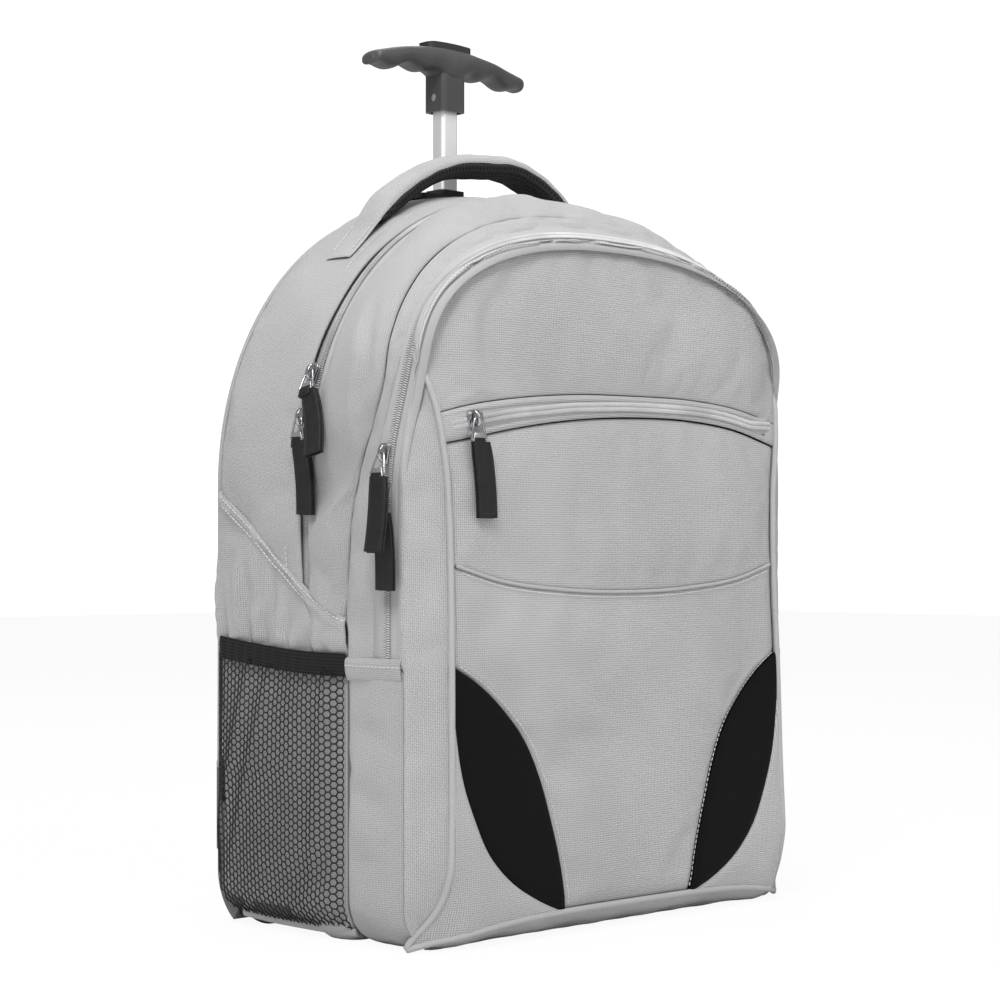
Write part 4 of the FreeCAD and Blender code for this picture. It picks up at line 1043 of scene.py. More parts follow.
def ring_path(y, sink, lowest):
    """Path round the arch at depth y per station, from one side's lowest height to the other's."""
    base = RING.at(y)
    grid = np.stack([RING.at(y - 1), base, RING.at(y + 1)], 1)
    normal = grid_normals(grid, True)[:, 1]
    chosen = ring_span(base[:, 2] >= lowest)
    path, normal = (base - normal * sink)[chosen], normal[chosen]
    for _ in range(6):
        path[1:-1] = (path[:-2] + path[1:-1] * 2 + path[2:]) / 4
        normal[1:-1] = (normal[:-2] + normal[1:-1] * 2 + normal[2:]) / 4
    return path, normal / np.linalg.norm(normal, axis=1)[:, None]


def zips():
    y, z = along_ring(front_zip_y)
    proud = 1.1 * smoothstep(z, 300, 345)[:, None]  # over the arch the coil stands clear of the cloth
    path, normal = ring_path(y, 0.1 - proud, SEAM_Z - 8)
    zip_chain("front_zip", path, normal, "front_zip", tape=12.5)
    path, normal = ring_path(np.full(len(z), MAIN_ZIP_Y), 2.6, 194.0)
    zip_chain("main_zip", path, normal, "main_zip", tape=13.0)
    angles = np.linspace(-139.0, 142.0, 120)
    line = np.interp(angles, [p[0] for p in ZIP_TOP], [p[1] for p in ZIP_TOP])
    low = np.interp(angles, [p[0] for p in ZIP_LOW], [p[1] for p in ZIP_LOW])
    centre = hermite(angles, angles[::10], ((line + low) / 2)[::10])
    path = np.stack([angles, front_y(angles, centre) - 0.3, centre], 1)
    out = np.tile([0.0, -1.0, LEAN], (len(path), 1))
    zip_chain("pocket_zip", path, out, "pocket_zip", tape=5.5)
    pocket_zip_lips()


def pocket_zip_lips():
    """Narrow folded strips above and below the pocket zip."""
    for name, outer, inner_gap, puff in (("upper", ZIP_TOP, -5.4, 1.5), ("lower", ZIP_LOW, 4.6, 1.1)):
        edge = curve_xz(outer, 90)
        edge[0][0], edge[-1][0] = -edge_half(edge[0][1]), edge_half(edge[-1][1])
        grid = np.stack([edge + [0, inner_gap * t] for t in np.linspace(0, 1, 6)], 1)
        grid[..., 0] = np.clip(grid[..., 0], -edge_half(grid[..., 1]), edge_half(grid[..., 1]))
        if inner_gap < 0:
            grid = grid[:, ::-1]
        front_sheet(f"pocket_zip_lip_{name}", grid, [], sink=1.5, reach=1.8, raise_by=puff)
    for side in (-1, 1):
        x0, x1 = (124.0, 151.0) if side < 0 else (137.0, 152.0)
        grid = []
        for x in np.linspace(x0, x1, 10):
            top = np.interp(side * x, [p[0] for p in ZIP_TOP], [p[1] for p in ZIP_TOP])
            low = np.interp(side * x, [p[0] for p in ZIP_LOW], [p[1] for p in ZIP_LOW])
            z = np.linspace(low, top, 10)
            grid.append(np.stack([side * np.minimum(x, edge_half(z)), z], 1))
        grid = np.stack(grid, 0)
        grid = grid[::-1] if side < 0 else grid
        front_sheet(f"pocket_zip_stop_{'left' if side < 0 else 'right'}", grid, [], sink=1.4, reach=2.0, raise_by=1.2)


# ---- lower side panels and pockets ------------------------------------------------------------------------------------
def side_grid(y_count, z_count, z_low, z_high, y_front=-36.0, y_rear=BACK_Y - 0.5, out=0.0):
    """Grid on the -X side in (y, z), with z_high given per depth."""
    y = np.linspace(y_front, y_rear, y_count)
    top = z_high(y)
    t = np.linspace(0, 1, z_count)
    z = z_low + (top[:, None] - z_low) * t[None]
    y = np.broadcast_to(y[:, None], z.shape)
    w = hermite(y, STATIONS[:, 0], STATIONS[:, 1])
    corner = np.where(z < CORNER_R, CORNER_R - np.sqrt(np.clip(CORNER_R**2 - (CORNER_R - z) ** 2, 0, None)), 0)
    return y, z, -(w + out) + corner


def lower_side_panel():
    """Side panel below the diagonal seam, gathered into the elastic with soft upright pleats."""
    y, z, x = side_grid(64, 74, 3.0, diagonal_z, y_front=-37.4)
    y = y - (y > 40) * 3.6 * (1 - smoothstep(z, 88, 97)) * smoothstep(y, 60, BACK_Y)
    below = diagonal_z(y) - z
    gather = smoothstep(below, 8, 45) * smoothstep(z, 90, 170)
    bend = 2.5 * np.sin(z / 31.0)
    pleats = 1.6 * np.sin((y + bend) * 2 * math.pi / 19.0) + 1.0 * np.sin((y - bend) * 2 * math.pi / 11.5 + 1.0)
    roll = 1.6 * np.exp(-(((below - 4.5) / 5.0) ** 2)) - 1.5 * np.exp(-((below / 1.6) ** 2))
    rim = -1.0 * np.exp(-((np.minimum(y + 36.0, BACK_Y - y) / 2.5) ** 2))
    lift = 1.0 + gather * pleats + roll + rim + 0.8 * ripple(y, z, 60.0, 51)
    under_net = 1 - smoothstep(z, 160, 174)
    lift = lift * (1 - 0.85 * under_net) - 0.9 * under_net
    lift = lift - 2.6 * under_net * (1 - smoothstep(y, -36.5, -27))
    lift = lift - 1.8 * under_net * smoothstep(y, BACK_Y - 9, BACK_Y)
    points = np.stack([x - lift, y, z], -1)
    uv = np.stack([y, z], -1)
    top_row = 73
    seam = {}
    for offset in (2.5, 7.5):
        row = np.argmin(np.abs(below - offset), axis=1)
        seam[offset] = np.stack([points[np.arange(64), row, 0], y[:, 0], diagonal_z(y[:, 0]) - offset], 1)
    for name, flip in (("left", 1), ("right", -1)):
        turned = points * [flip, 1, 1]
        piece = sheet(f"side_panel_cloth_{name}", turned, flip=flip > 0, uv=uv)
        pin = edge_pin(64, top_row + 1, 1.0, rows_too=True)
        held = (z < 160).ravel()
        settle(piece, np.maximum(pin, held * 0.95), pressure=0.9, grow=0.03, cap=2.6)
        finish(piece, "canvas_side")
        for offset, path in seam.items():
            out = np.tile([-1.0 * flip, 0, 0], (64, 1))
            stitches(f"diagonal_stitches_{int(offset)}_{name}", path[1:-1] * [flip, 1, 1], out[1:-1], width=0.7)


def elastic_z(y):
    """Height of the elastic's top edge."""
    return hermite(y, [-36, 0, 40, BACK_Y], [166, 167, 170, 174])


def pocket_out(y, z):
    """How far the net stands off the bag's side, with slack folds that run down to the front."""
    mid = np.sin(np.clip((y + 36) / (BACK_Y + 36), 0, 1) * math.pi)
    belly = 2.8 + 3.8 * mid * np.sin(np.clip(z / 160.0, 0, 1) * math.pi) ** 0.8
    slant = y + 0.32 * z
    folds = 1.5 * np.exp(-(((slant - 96) / 5.0) ** 2)) + 1.1 * np.exp(-(((slant - 76) / 4.0) ** 2))
    folds = folds + 1.2 * np.exp(-(((y + 0.1 * z + 8) / 4.0) ** 2))
    low_fold = 1.4 * np.sin((z + 0.6 * y) / 7.5) * np.exp(-(((z - 26) / 20.0) ** 2)) * smoothstep(-y, -45, 30)
    return tucked(y, belly + folds * smoothstep(z, 10, 60) + low_fold)


def tucked(y, out):
    """Draws a pocket's cloth in to the seam at its front and to the bag at its back."""
    front, rear = smoothstep(y, -38, -24), smoothstep(BACK_Y - y, -1, 7)
    return out * front * rear - 0.2 * (1 - front) - 1.2 * (1 - rear)


def side_x(y, z, out):
    w = hermite(y, STATIONS[:, 0], STATIONS[:, 1])
    tuck = np.where(z < CORNER_R, CORNER_R - np.sqrt(np.clip(CORNER_R**2 - (CORNER_R - z) ** 2, 0, None)), 0)
    return -(w + out) + tuck


def wheel_notch(y, z):
    """True where the wheel's fender cuts the pocket's lower rear corner."""
    wheel_low, wheel_high = cad_box("tyre_left")
    cy, cz = (wheel_low[1] + wheel_high[1]) / 2, (wheel_low[2] + wheel_high[2]) / 2
    return (np.hypot(y - cy, z - cz) > NOTCH_R) & (y > cy) & (z < cz)


NOTCH_R = 31.5


def mesh_pockets():
    """Hexagonal net as real strands. Cells shrink a little where the cloth is gathered."""
    pitch_z, pitch_y = 4.3, 3.85
    cols = int((BACK_Y + 36 - 1) / pitch_y)
    points, index, faces = [], {}, []

    def corner(y, z):
        key = (round(y * 50), round(z * 50))
        if key not in index:
            index[key] = len(points)
            points.append((y, z))
        return index[key]

    shape = [(-1 / 3, 0.5), (1 / 3, 0.5), (2 / 3, 0.0), (1 / 3, -0.5), (-1 / 3, -0.5), (-2 / 3, 0.0)]
    for a in range(cols + 1):
        for b in range(int(160 / pitch_z) + 1):
            y = -35.0 + (a + 0.5) * pitch_y
            z = 6.0 + b * pitch_z + (pitch_z / 2 if a % 2 else 0)
            if z > elastic_z(np.array([y]))[0] - 11 or wheel_notch(y, z):
                continue
            faces.append([corner(y + dy * pitch_y, z + dz * pitch_z) for dy, dz in shape])
    flat = np.array(points)
    y = np.clip(flat[:, 0], -36, BACK_Y - 0.3)
    z = flat[:, 1]
    sway = 1.3 * ripple(y, z, 55.0, 61)
    last = BACK_Y - 0.3 - 4.2 * (1 - smoothstep(z, 88, 99))
    y = -36 + (y + 36) * (last + 36) / (BACK_Y + 36)
    y2 = np.clip(y + sway * np.sin(np.clip((y + 36) / 119.5, 0, 1) * math.pi), -36, last)
    z2 = z + 1.0 * ripple(z, y, 60.0, 62) * np.sin(np.clip((z - 5) / 155, 0, 1) * math.pi)
    x = side_x(y2, z2, pocket_out(y2, z2))
    placed = np.stack([x, y2, z2], 1)
    for name, flip in (("left", 1), ("right", -1)):
        piece = new_mesh(f"pocket_net_{name}", placed * [flip, 1, 1], faces, closed=False)
        strands = piece.modifiers.new("strands", "WIREFRAME")
        strands.thickness = 1.15 * MM
        strands.use_even_offset = False
        if flip > 0:
            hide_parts("mesh_pockets")
        finish(piece, "net_black")


def pocket_bindings():
    """Rolled grey edge along the foot of each net."""
    y = np.linspace(-37.0, 62.0, 40)
    z = 5.0 + 1.2 * smoothstep(y, 30, 62) + 0 * y
    path = np.stack([side_x(y, z, pocket_out(y, z) * 0.8 + 0.6), y, z], 1)
    for name, flip in (("left", 1), ("right", -1)):
        out = np.tile([-1.0 * flip, 0, -0.4], (len(y), 1))
        roll = sweep(f"pocket_binding_{name}", path * [flip, 1, 1], out, round_section(2.6, 1.7, 12, 0.9))
        finish(roll, "piping_grey")


def pocket_elastics():
    y = np.linspace(-37.8, BACK_Y - 3.0, 60)
    top = elastic_z(y)
    rows = []
    out = tucked(y, 1.9 + 1.4 * np.sin(np.clip((y + 36) / 119.5, 0, 1) * math.pi))
    section = [(0.6, 0.0), (1.3, -1.2), (1.5, -7.0), (1.3, -12.6), (0.6, -14.0), (-0.8, -13.4), (-1.0, -7.0), (-0.8, -0.6)]
    pucker = 0.35 * np.sin(y * 2 * math.pi / 9.0)
    for extra, drop in section:
        z = top + drop
        rows.append(np.stack([side_x(y, z, out + extra + pucker), y, z], 1))
    points = np.stack(rows, 1)
    count = len(section)
    i, j = np.meshgrid(np.arange(len(y) - 1), np.arange(count), indexing="ij")
    faces = np.stack([i * count + j, (i + 1) * count + j, (i + 1) * count + (j + 1) % count, i * count + (j + 1) % count], -1)
    faces = faces.reshape(-1, 4).tolist() + [list(range(count)), [(len(y) - 1) * count + k for k in range(count)][::-1]]
    turn = np.array([0, 1.5, 7, 13, 14.5, 16, 22, 29.0])
    uv = np.stack(np.broadcast_arrays(y[:, None], turn[None]), -1)
    for name, flip in (("left", 1), ("right", -1)):
        ordered = faces if flip > 0 else [f[::-1] for f in faces]
        piece = new_mesh(f"pocket_elastic_{name}", (points * [flip, 1, 1]).reshape(-1, 3), ordered, uv.reshape(-1, 2))
        subdivide(piece)
        if flip > 0:
            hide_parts("pocket_elastics")
        finish(piece, "elastic_black")


# ---- carry handle -----------------------------------------------------------------------------------------------------
HANDLE_PATH = [(-116, 402.6), (-108, 410.0), (-98, 420.8), (-86, 433.5), (-70, 447), (-50, 459.5), (-26, 469), (0, 472.5)]


def carry_handle():
    """Grey cover folded round foam, with black air mesh on the grip side and a flat sewn patch at each end."""
    half = np.array(HANDLE_PATH, float)
    mirrored = half[-2::-1] * [-1, 1]
    mirrored[:, 1] += 7.0 * np.sin(np.clip(mirrored[:, 0] / 116, 0, 1) * math.pi)  # pushed up on its +X half
    both = np.concatenate([half, mirrored])
    line = curve_xz(both, 97)
    t = np.linspace(-1, 1, 97)
    centre = np.stack([line[:, 0], np.full(97, HANDLE_Y), line[:, 1]], 1)
    tangent, out, side = frames_along(centre, np.stack([line[:, 0] * 0.8, 0 * t, 60 + 0 * t], 1))
    lifted = np.abs(line[:, 0]) < 97
    ease = smoothstep(100 - np.abs(line[:, 0]), 0, 24)
    half_w = 11.6 + 1.4 * ease + 0.4 * ripple(t * 60, 0 * t, 40.0, 71)
    half_t = 1.4 + 5.6 * ease + 0.25 * ripple(t * 60, 0 * t, 25.0, 72)
    pinch = 0.9 * np.exp(-(((np.abs(line[:, 0]) - 96) / 4.0) ** 2))
    half_t = half_t - pinch * 0.6
    parts = (
        ("handle_cover", np.radians(np.linspace(-8, 188, 25)), 1.0, "canvas_grey", "canvas_grey"),
        ("handle_underside", np.radians(np.linspace(176, 364, 25)), 0.95, "air_mesh_black", "air_mesh_black"),
    )
    for name, turns, scale, material, slot in parts:
        c, sn = np.cos(turns), np.sin(turns)
        across = np.sign(c) * np.abs(c) ** 0.75 * scale
        outward = np.sign(sn) * np.abs(sn) ** 0.85 * scale
        wrinkle = 0.35 * ripple(t[:, None] * 110, 9 * turns[None], 16.0, 73) * ease[:, None]
        points = centre[:, None] + side[:, None] * (half_w[:, None] * across)[..., None]
        points = points + out[:, None] * (half_t[:, None] * outward + wrinkle)[..., None]
        kept = slice(None) if name == "handle_cover" else slice(*np.where(lifted)[0][[2, -3]])
        piece = sheet(name, points[kept], thickness=1.2, flip=name != "handle_cover")
        if name == "handle_cover":
            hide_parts("carry_handle")
        finish(piece, material, None)
        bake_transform(piece)
    for sign in (-1, 1):
        for edge in (-1, 1):
            spot = np.abs(line[:, 0] - sign * 103) < 8
            path = centre[spot] + out[spot] * (half_t[spot] * 0.9 + 0.35)[:, None]
            path = path + side[spot] * (edge * (half_w[spot] - 2.6))[:, None]
            stitches(f"handle_stitches_{'left' if sign < 0 else 'right'}_{edge + 2}", path, out[spot], lift=0.1)


# ---- wearer's side ----------------------------------------------------------------------------------------------------
def pad(name, path_xz, half_widths, low_y, high_y, material, node, power=0.55, ridge=0.0):
    """Padded cushion that follows a line of (x, z) points, as a mirrored pair."""
    count = 72
    line = curve_xz(path_xz, count)
    t = np.linspace(0, 1, count)
    width = np.interp(t, np.linspace(0, 1, len(half_widths)), half_widths)
    near = np.minimum(t, 1 - t) * np.linalg.norm(np.diff(line, axis=0), axis=1).sum()
    cap = np.sqrt(np.clip(1 - (1 - np.clip(near / 16.0, 0, 1)) ** 2, 0.02, 1))
    middle, half = (low_y + high_y) / 2, (high_y - low_y) / 2
    centre = np.stack([line[:, 0], np.full(count, middle), line[:, 1]], 1)
    _, out, side = frames_along(centre, np.tile([0.0, 1.0, 0.0], (count, 1)))
    turns = np.linspace(0, 2 * math.pi, 28, endpoint=False)
    c, sn = np.cos(turns), np.sin(turns)
    across, outward = np.sign(c) * np.abs(c) ** power, np.sign(sn) * np.abs(sn) ** 0.8
    puffs = 1 + ridge * np.cos(t * 2 * math.pi * 7)
    points = centre[:, None] + side[:, None] * ((width * cap)[:, None] * across)[..., None]
    points = points + out[:, None] * ((half * np.sqrt(cap) * puffs)[:, None] * outward)[..., None]
    rows, ring = points.shape[:2]
    i, j = np.meshgrid(np.arange(rows - 1), np.arange(ring), indexing="ij")
    nxt = (j + 1) % ring
    faces = np.stack([i * ring + j, i * ring + nxt, (i + 1) * ring + nxt, (i + 1) * ring + j], -1).reshape(-1, 4).tolist()
    faces += [list(range(ring))[::-1], [(rows - 1) * ring + k for k in range(ring)]]
    flat = points[..., [0, 2]]
    for label, flip in (("left", 1), ("right", -1)):
        turned = (points * [flip, 1, 1]).reshape(-1, 3)
        ordered = faces if flip > 0 else [f[::-1] for f in faces]
        piece = new_mesh(f"{name}_{label}", turned, ordered, flat.reshape(-1, 2))
        subdivide(piece)
        if flip > 0:
            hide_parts(node)
        finish(piece, material)
        for rim in (-1, 1):
            path = centre + side * (rim * (width * cap))[:, None]
            path = path[4:-4] * [flip, 1, 1]
            up = np.tile([0.0, 1.0, 0.0], (len(path), 1))
            cord = sweep(f"{name}_binding_{label}_{rim + 2}", path, up, round_section(1.5, min(half, 3.2), 10))
            subdivide(cord)
            finish(cord, "webbing_black")


def back_panel():
    """Arched back cloth with a grey bound edge and a soft channel over the trolley tubes."""
    rows, cols = 60, 56
    t = np.linspace(0, 1, rows)
    low, high = BACK_LOW[2] + 1.0, BACK_HIGH[2] - 1.0
    z = low + (high - low) * np.sin(t * math.pi / 2)
    z = np.where(t < 0.001, low, z)
    spring = 265.0
    half = np.where(z < spring, 166.0, 166.0 * np.sqrt(np.clip(1 - ((z - spring) / (high + 0.5 - spring)) ** 2, 0, 1)))
    tuck = np.where(z < low + 22, 22 - np.sqrt(np.clip(22**2 - (low + 22 - z) ** 2, 0, None)), 0)
    half = half - tuck
    u = np.linspace(-1, 1, cols)
    x = half[:, None] * u[None]
    z = np.broadcast_to(z[:, None], x.shape)
    channel = 3.2 * np.exp(-((x / 17.0) ** 4)) * smoothstep(z, 60, 90)
    rim = 3.2 * np.exp(-(((1 - np.abs(u)[None]) * half[:, None] / 5.0) ** 2))
    y = BACK_Y - 0.4 + channel - rim + 0.7 * ripple(x, z, 70.0, 81)
    wells = (np.abs(x) > 131) & (z < 74)
    y = y - 1.2 * wells
    piece = sheet("back_cloth", np.stack([x, y, z], -1), thickness=3.0, uv=np.stack([x, z], -1))
    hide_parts("back_panel")
    finish(piece, "air_mesh_black")
    ring = RING.at(np.full(len(RING.kind), BACK_Y + 0.3))
    order = ring_span(RING.height > -1)
    centre = np.array([0.0, BACK_Y, 225.0])
    ring = ring + (centre - ring) * 2.6 / np.linalg.norm(centre - ring, axis=1)[:, None] + np.array([0, 0.9, 0])
    path = np.roll(ring[order], -150, axis=0)
    first = int(np.argmin(path[:, 2]))
    path = np.roll(path, -first, axis=0)
    path = path[path[:, 2] > 92]
    path, up = resample(path, 3.0, np.tile([0.0, 1.0, 0.0], (len(path), 1)))
    binding = sweep("back_binding", path, up, round_section(1.6, 1.4, 10, 0.8))
    finish(binding, "piping_grey")


def straps():
    pad("back_pad", [(-52, 418), (-72, 390), (-86, 320), (-88, 250), (-86, 106)], [15, 36, 50, 57, 58, 50], 83.9, 92.6,
        "air_mesh_black", "back_pads", power=0.4, ridge=0.10)  # fmt: skip
    pad("shoulder_strap", [(-41, 406), (-50, 350), (-66, 290), (-78, 240), (-82, 186)], [20, 22, 24, 24, 21], 93.6, 103.4,
        "canvas_black", "shoulder_straps", power=0.5)  # fmt: skip
    low, high = cad_box("strap_webbings")
    count = 40
    t = np.linspace(0, 1, count)
    for label, flip in (("left", 1), ("right", -1)):
        x, z = -82 - 30 * t, 181 - 126 * t
        y = 94.0 + 1.6 * np.sin(t * math.pi * 2) + 3.0 * np.exp(-((t / 0.1) ** 2))
        path = np.stack([x * flip, y, z], 1)
        up = np.tile([0.0, 1.0, 0.0], (count, 1))
        band = [(-12.5, 0.0), (-12.2, 0.8), (-4, 0.95), (4, 0.95), (12.2, 0.8), (12.5, 0.0), (12.2, -0.8), (-12.2, -0.8)]
        piece = sweep(f"strap_webbing_{label}", path, up, band)
        if flip > 0:
            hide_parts("strap_webbings")
        finish(piece, "webbing_black")


# ---- sliders and pulls ------------------------------------------------------------------------------------------------
def joint(name):
    return next(j for j in frame["record"]["behaviour"]["joints"] if j["name"] == name)


def node_axes(node):
    """Long, middle and short direction of a CAD node, with its centre, in millimetres."""
    mesh = frame["nodes"][node]
    points = np.array([mesh.matrix_world @ v.co for v in mesh.data.vertices]) / MM
    centre = (points.max(0) + points.min(0)) / 2
    _, _, axes = np.linalg.svd(points - points.mean(0), full_matrices=False)
    return centre, axes


def local_points(points, origin, out, side, up):
    return origin + points[:, :1] * out + points[:, 1:2] * side + points[:, 2:] * up


def placed_mesh(name, points, faces, frame_axes):
    return new_mesh(name, local_points(np.asarray(points, float), *frame_axes), faces)


def prism(outline, low, high):
    """Points and faces of an outline of (side, up) pairs raised from low to high."""
    count = len(outline)
    points = [(low, *q) for q in outline] + [(high, *q) for q in outline]
    faces = [list(range(count))[::-1], [count + k for k in range(count)]]
    faces += [[k, (k + 1) % count, count + (k + 1) % count, count + k] for k in range(count)]
    return np.array(points, float), faces


def bevel(piece, width, segments=3):
    m = piece.modifiers.new("edge", "BEVEL")
    m.width = width * MM
    m.segments = segments
    m.limit_method = "ANGLE"
    m.angle_limit = math.radians(35)
    return piece


def slider(node, travel, pull_swing, turned=False):
    """Cast slider: two plates round the coil, a guide post between them and a raised bridge."""
    pivot = np.array(joint(pull_swing)["pos_m"]) / MM
    motion = joint(travel)
    if turned:
        out = -np.array(motion["axis"])
        centre = np.array(motion["pos_m"]) / MM
        up = pivot - centre
        up = up - out * up.dot(out)
        side = up / np.linalg.norm(up)
        up = np.cross(out, side)
    else:
        out = np.array([-1.0, 0, 0])
        if motion["type"] == "hinge":
            out = pivot - np.array(motion["pos_m"]) / MM
            out[1] = 0
            out /= np.linalg.norm(out)
        side = np.array([0.0, -1.0, 0.0])
        up = np.cross(out, side)
    origin = pivot - out * 5.05
    if not turned:
        origin[1] = -71.8 if node.startswith("front") else -2.0
    axes = (origin, out, side, up)
    body = frame["nodes"][node].name and node + "_body"
    rider = node.replace("main_slider_", "main_").replace("front_slider_", "front_")
    rider = "pocket_slider" if turned else rider + "_slider"
    outline = [(-2.6, -6.0), (2.6, -6.0), (3.3, -2.0), (4.6, 2.5), (4.3, 4.6), (1.6, 6.0), (-1.6, 6.0), (-4.3, 4.6),
               (-4.6, 2.5), (-3.3, -2.0)]  # fmt: skip
    for part, low, high in (("sole", 0.0, 0.9), ("top", 2.2, 3.2)):
        narrow = 0.72 if part == "sole" else 1.0  # the sole runs under the tapes, between the cloth edges
        plate = placed_mesh(f"{body}_{part}", *prism([(a * narrow, b) for a, b in outline], low, high), axes)
        bevel(plate, 0.35)
        if part == "sole":
            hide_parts(node)
        finish(plate, "zip_metal", rider)
    post = placed_mesh(f"{body}_post", *prism([(-1.2, 0.5), (1.2, 0.5), (0.9, 5.4), (-0.9, 5.4)], 0.2, 3.0), axes)
    bevel(post, 0.2)
    finish(post, "zip_metal", rider)
    arch = np.array([(3.0, -4.6), (4.6, -4.3), (6.0, -2.6), (6.5, 0.0), (6.0, 2.6), (4.6, 4.3), (3.0, 4.6)])
    fine = np.stack([np.interp(np.linspace(0, 6, 25), range(7), arch[:, k]) for k in (0, 1)], 1)
    spread = (side, up) if not turned else (up, side)
    path = origin + fine[:, :1] * out + fine[:, 1:] * (spread[1] if not turned else spread[1])
    outward = fine[:, :1] * out * 0 + (path - (origin + out * 2.0))
    bridge = sweep(f"{body}_bridge", path, outward, round_section(1.35, 0.5, 10, 0.8))
    finish(bridge, "zip_metal", rider)


def ring_path_from(corners, origin, out, side, up):
    """Closed rounded wire path through local corners."""
    corners = np.array(corners, float)
    loop = []
    count = len(corners)
    for k in range(count):
        a, b, c = corners[k - 1], corners[k], corners[(k + 1) % count]
        for t in (0.0, 0.25, 0.5, 0.75, 1.0):
            start, end = b + (a - b) * min(0.45, 1.4 / np.linalg.norm(a - b)), b + (c - b) * min(0.45, 1.4 / np.linalg.norm(c - b))
            loop.append((1 - t) ** 2 * start + 2 * t * (1 - t) * b + t * t * end)
    return local_points(np.array(loop), origin, out, side, up)


# how far each tab's foot hangs from the line of its wire bail
TAB_LEAN = {"main_upper": (4.5, -12.5, 0), "main_lower": (0.4, -10.0, 0), "front_upper": (-0.8, -9.0, 0),
            "front_lower": (0.6, -6.5, 0), "pocket": (3.0, -1.6, 0)}  # fmt: skip


def tab_bend(drop):
    """Share of the lean at a drop below the bail's pivot: bends near the clip and then runs straight."""
    t = np.clip((drop - 7) / 50.0, 0, 1)
    return 1 - (1 - t) ** 2


def hang(piece, pivot, lean):
    """Bends a tab sideways by lean, in millimetres, from its clip to its foot."""
    for vertex in piece.data.vertices:
        drop = pivot[2] - vertex.co.z / MM
        vertex.co += Vector(lean * float(tab_bend(drop))) * MM


def pull(where):
    """Wire bail, pressed metal clip and a leather tab folded through it."""
    pivot = np.array(joint(f"{where}_pull_swing")["pos_m"]) / MM
    rider = f"{where}_pull"
    _, tab_axes = node_axes(f"{where}_tab")
    up = tab_axes[0] if tab_axes[0][2] > 0 else -tab_axes[0]
    out = tab_axes[2]
    facing = np.array([0, -1.0, 0]) if where == "pocket" else np.array([-1.0, 0, 0])
    out = out if out.dot(facing) > 0 else -out
    side = np.cross(up, out)
    axes = (pivot, out, side, up)
    wire = ring_path_from([(0, -2.6, 0), (0, 2.6, 0), (0.3, 5.9, -12.4), (0.3, -5.9, -12.4)], *axes)
    bail = sweep(f"{where}_bail", wire, np.tile(out, (len(wire), 1)), round_section(0.62, 0.62, 10), closed=True)
    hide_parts(f"{where}_link")
    finish(bail, "zip_metal", rider)
    clip_outline = [(-3.6, -8.4), (3.6, -8.4), (5.4, -13.6), (-5.4, -13.6)]
    points, faces = prism(clip_outline[::-1], -0.55, 1.15)
    clip = placed_mesh(f"{where}_clip", points, faces, axes)
    bevel(clip, 0.3)
    finish(clip, "steel", rider)
    lean = np.array(TAB_LEAN[where], float)
    leaf_shapes = (("front", 1.05, 1.9, 7.0, -56.6), ("core", -0.1, 0.85, 6.5, -56.0), ("rear", -1.15, -0.3, 7.0, -56.9))
    for leaf, low, high, half, foot in leaf_shapes:
        top = -13.4
        steps = np.linspace(0, 1, 15)
        bow = 0.35 * np.sin(steps * 2.6)
        grid = []
        for t, b in zip(steps, bow):
            z = top + (foot - top) * t
            h = half * (0.90 + 0.10 * min(1, t * 5))
            ring = [(low + b, -h, z), (low + b, h, z), (high + b, h, z), (high + b + 0.25, h - 0.9, z),
                    (high + b - 0.05, h - 1.7, z), (high + b - 0.05, -h + 1.7, z), (high + b + 0.25, -h + 0.9, z),
                    (high + b, -h, z)]  # fmt: skip
            grid.append(ring)
        grid = np.array(grid)
        rows, count = grid.shape[:2]
        faces = [[i * count + k, i * count + (k + 1) % count, (i + 1) * count + (k + 1) % count, (i + 1) * count + k]
                 for i in range(rows - 1) for k in range(count)]  # fmt: skip
        faces += [list(range(count))[::-1], [(rows - 1) * count + k for k in range(count)]]
        piece = placed_mesh(f"{where}_leather_{leaf}", grid.reshape(-1, 3), [f[::-1] for f in faces], axes)
        hang(piece, pivot, lean)
        piece.data.polygons.foreach_set("use_smooth", np.zeros(len(piece.data.polygons), bool))
        bevel(piece, 0.25)
        if leaf == "front":
            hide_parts(f"{where}_tab")
        finish(piece, "tab_black", rider)
    edge = [(2.0, -5.3, -16), (2.0, -5.3, -54.2), (2.0, 5.3, -54.2), (2.0, 5.3, -16)]
    corners = np.array(edge, float)
    line = np.concatenate([np.linspace(corners[k], corners[k + 1], 20)[:-1] for k in range(3)] + [corners[-1:]])
    placed = local_points(line, *axes)
    placed = placed + lean * tab_bend(pivot[2] - placed[:, 2:])
    path, normal = resample(placed, 2.6, np.tile(out, (len(placed), 1)))
    tangent, o, sd = frames_along(path, normal)
    thread = scatter(f"{where}_tab_stitches", capsule(1.9, 0.45, 0.4), path + o * 0.05, tangent, sd, o)
    finish(thread, "thread_black", rider)
    loop_points, loop_faces = prism([(-4.6, -17.5), (4.6, -17.5), (4.0, -11.2), (-4.0, -11.2)], -0.9, 1.7)
    strap = placed_mesh(f"{where}_tab_loop", loop_points, loop_faces, axes)
    bevel(strap, 0.5)
    finish(strap, "tab_black", rider)


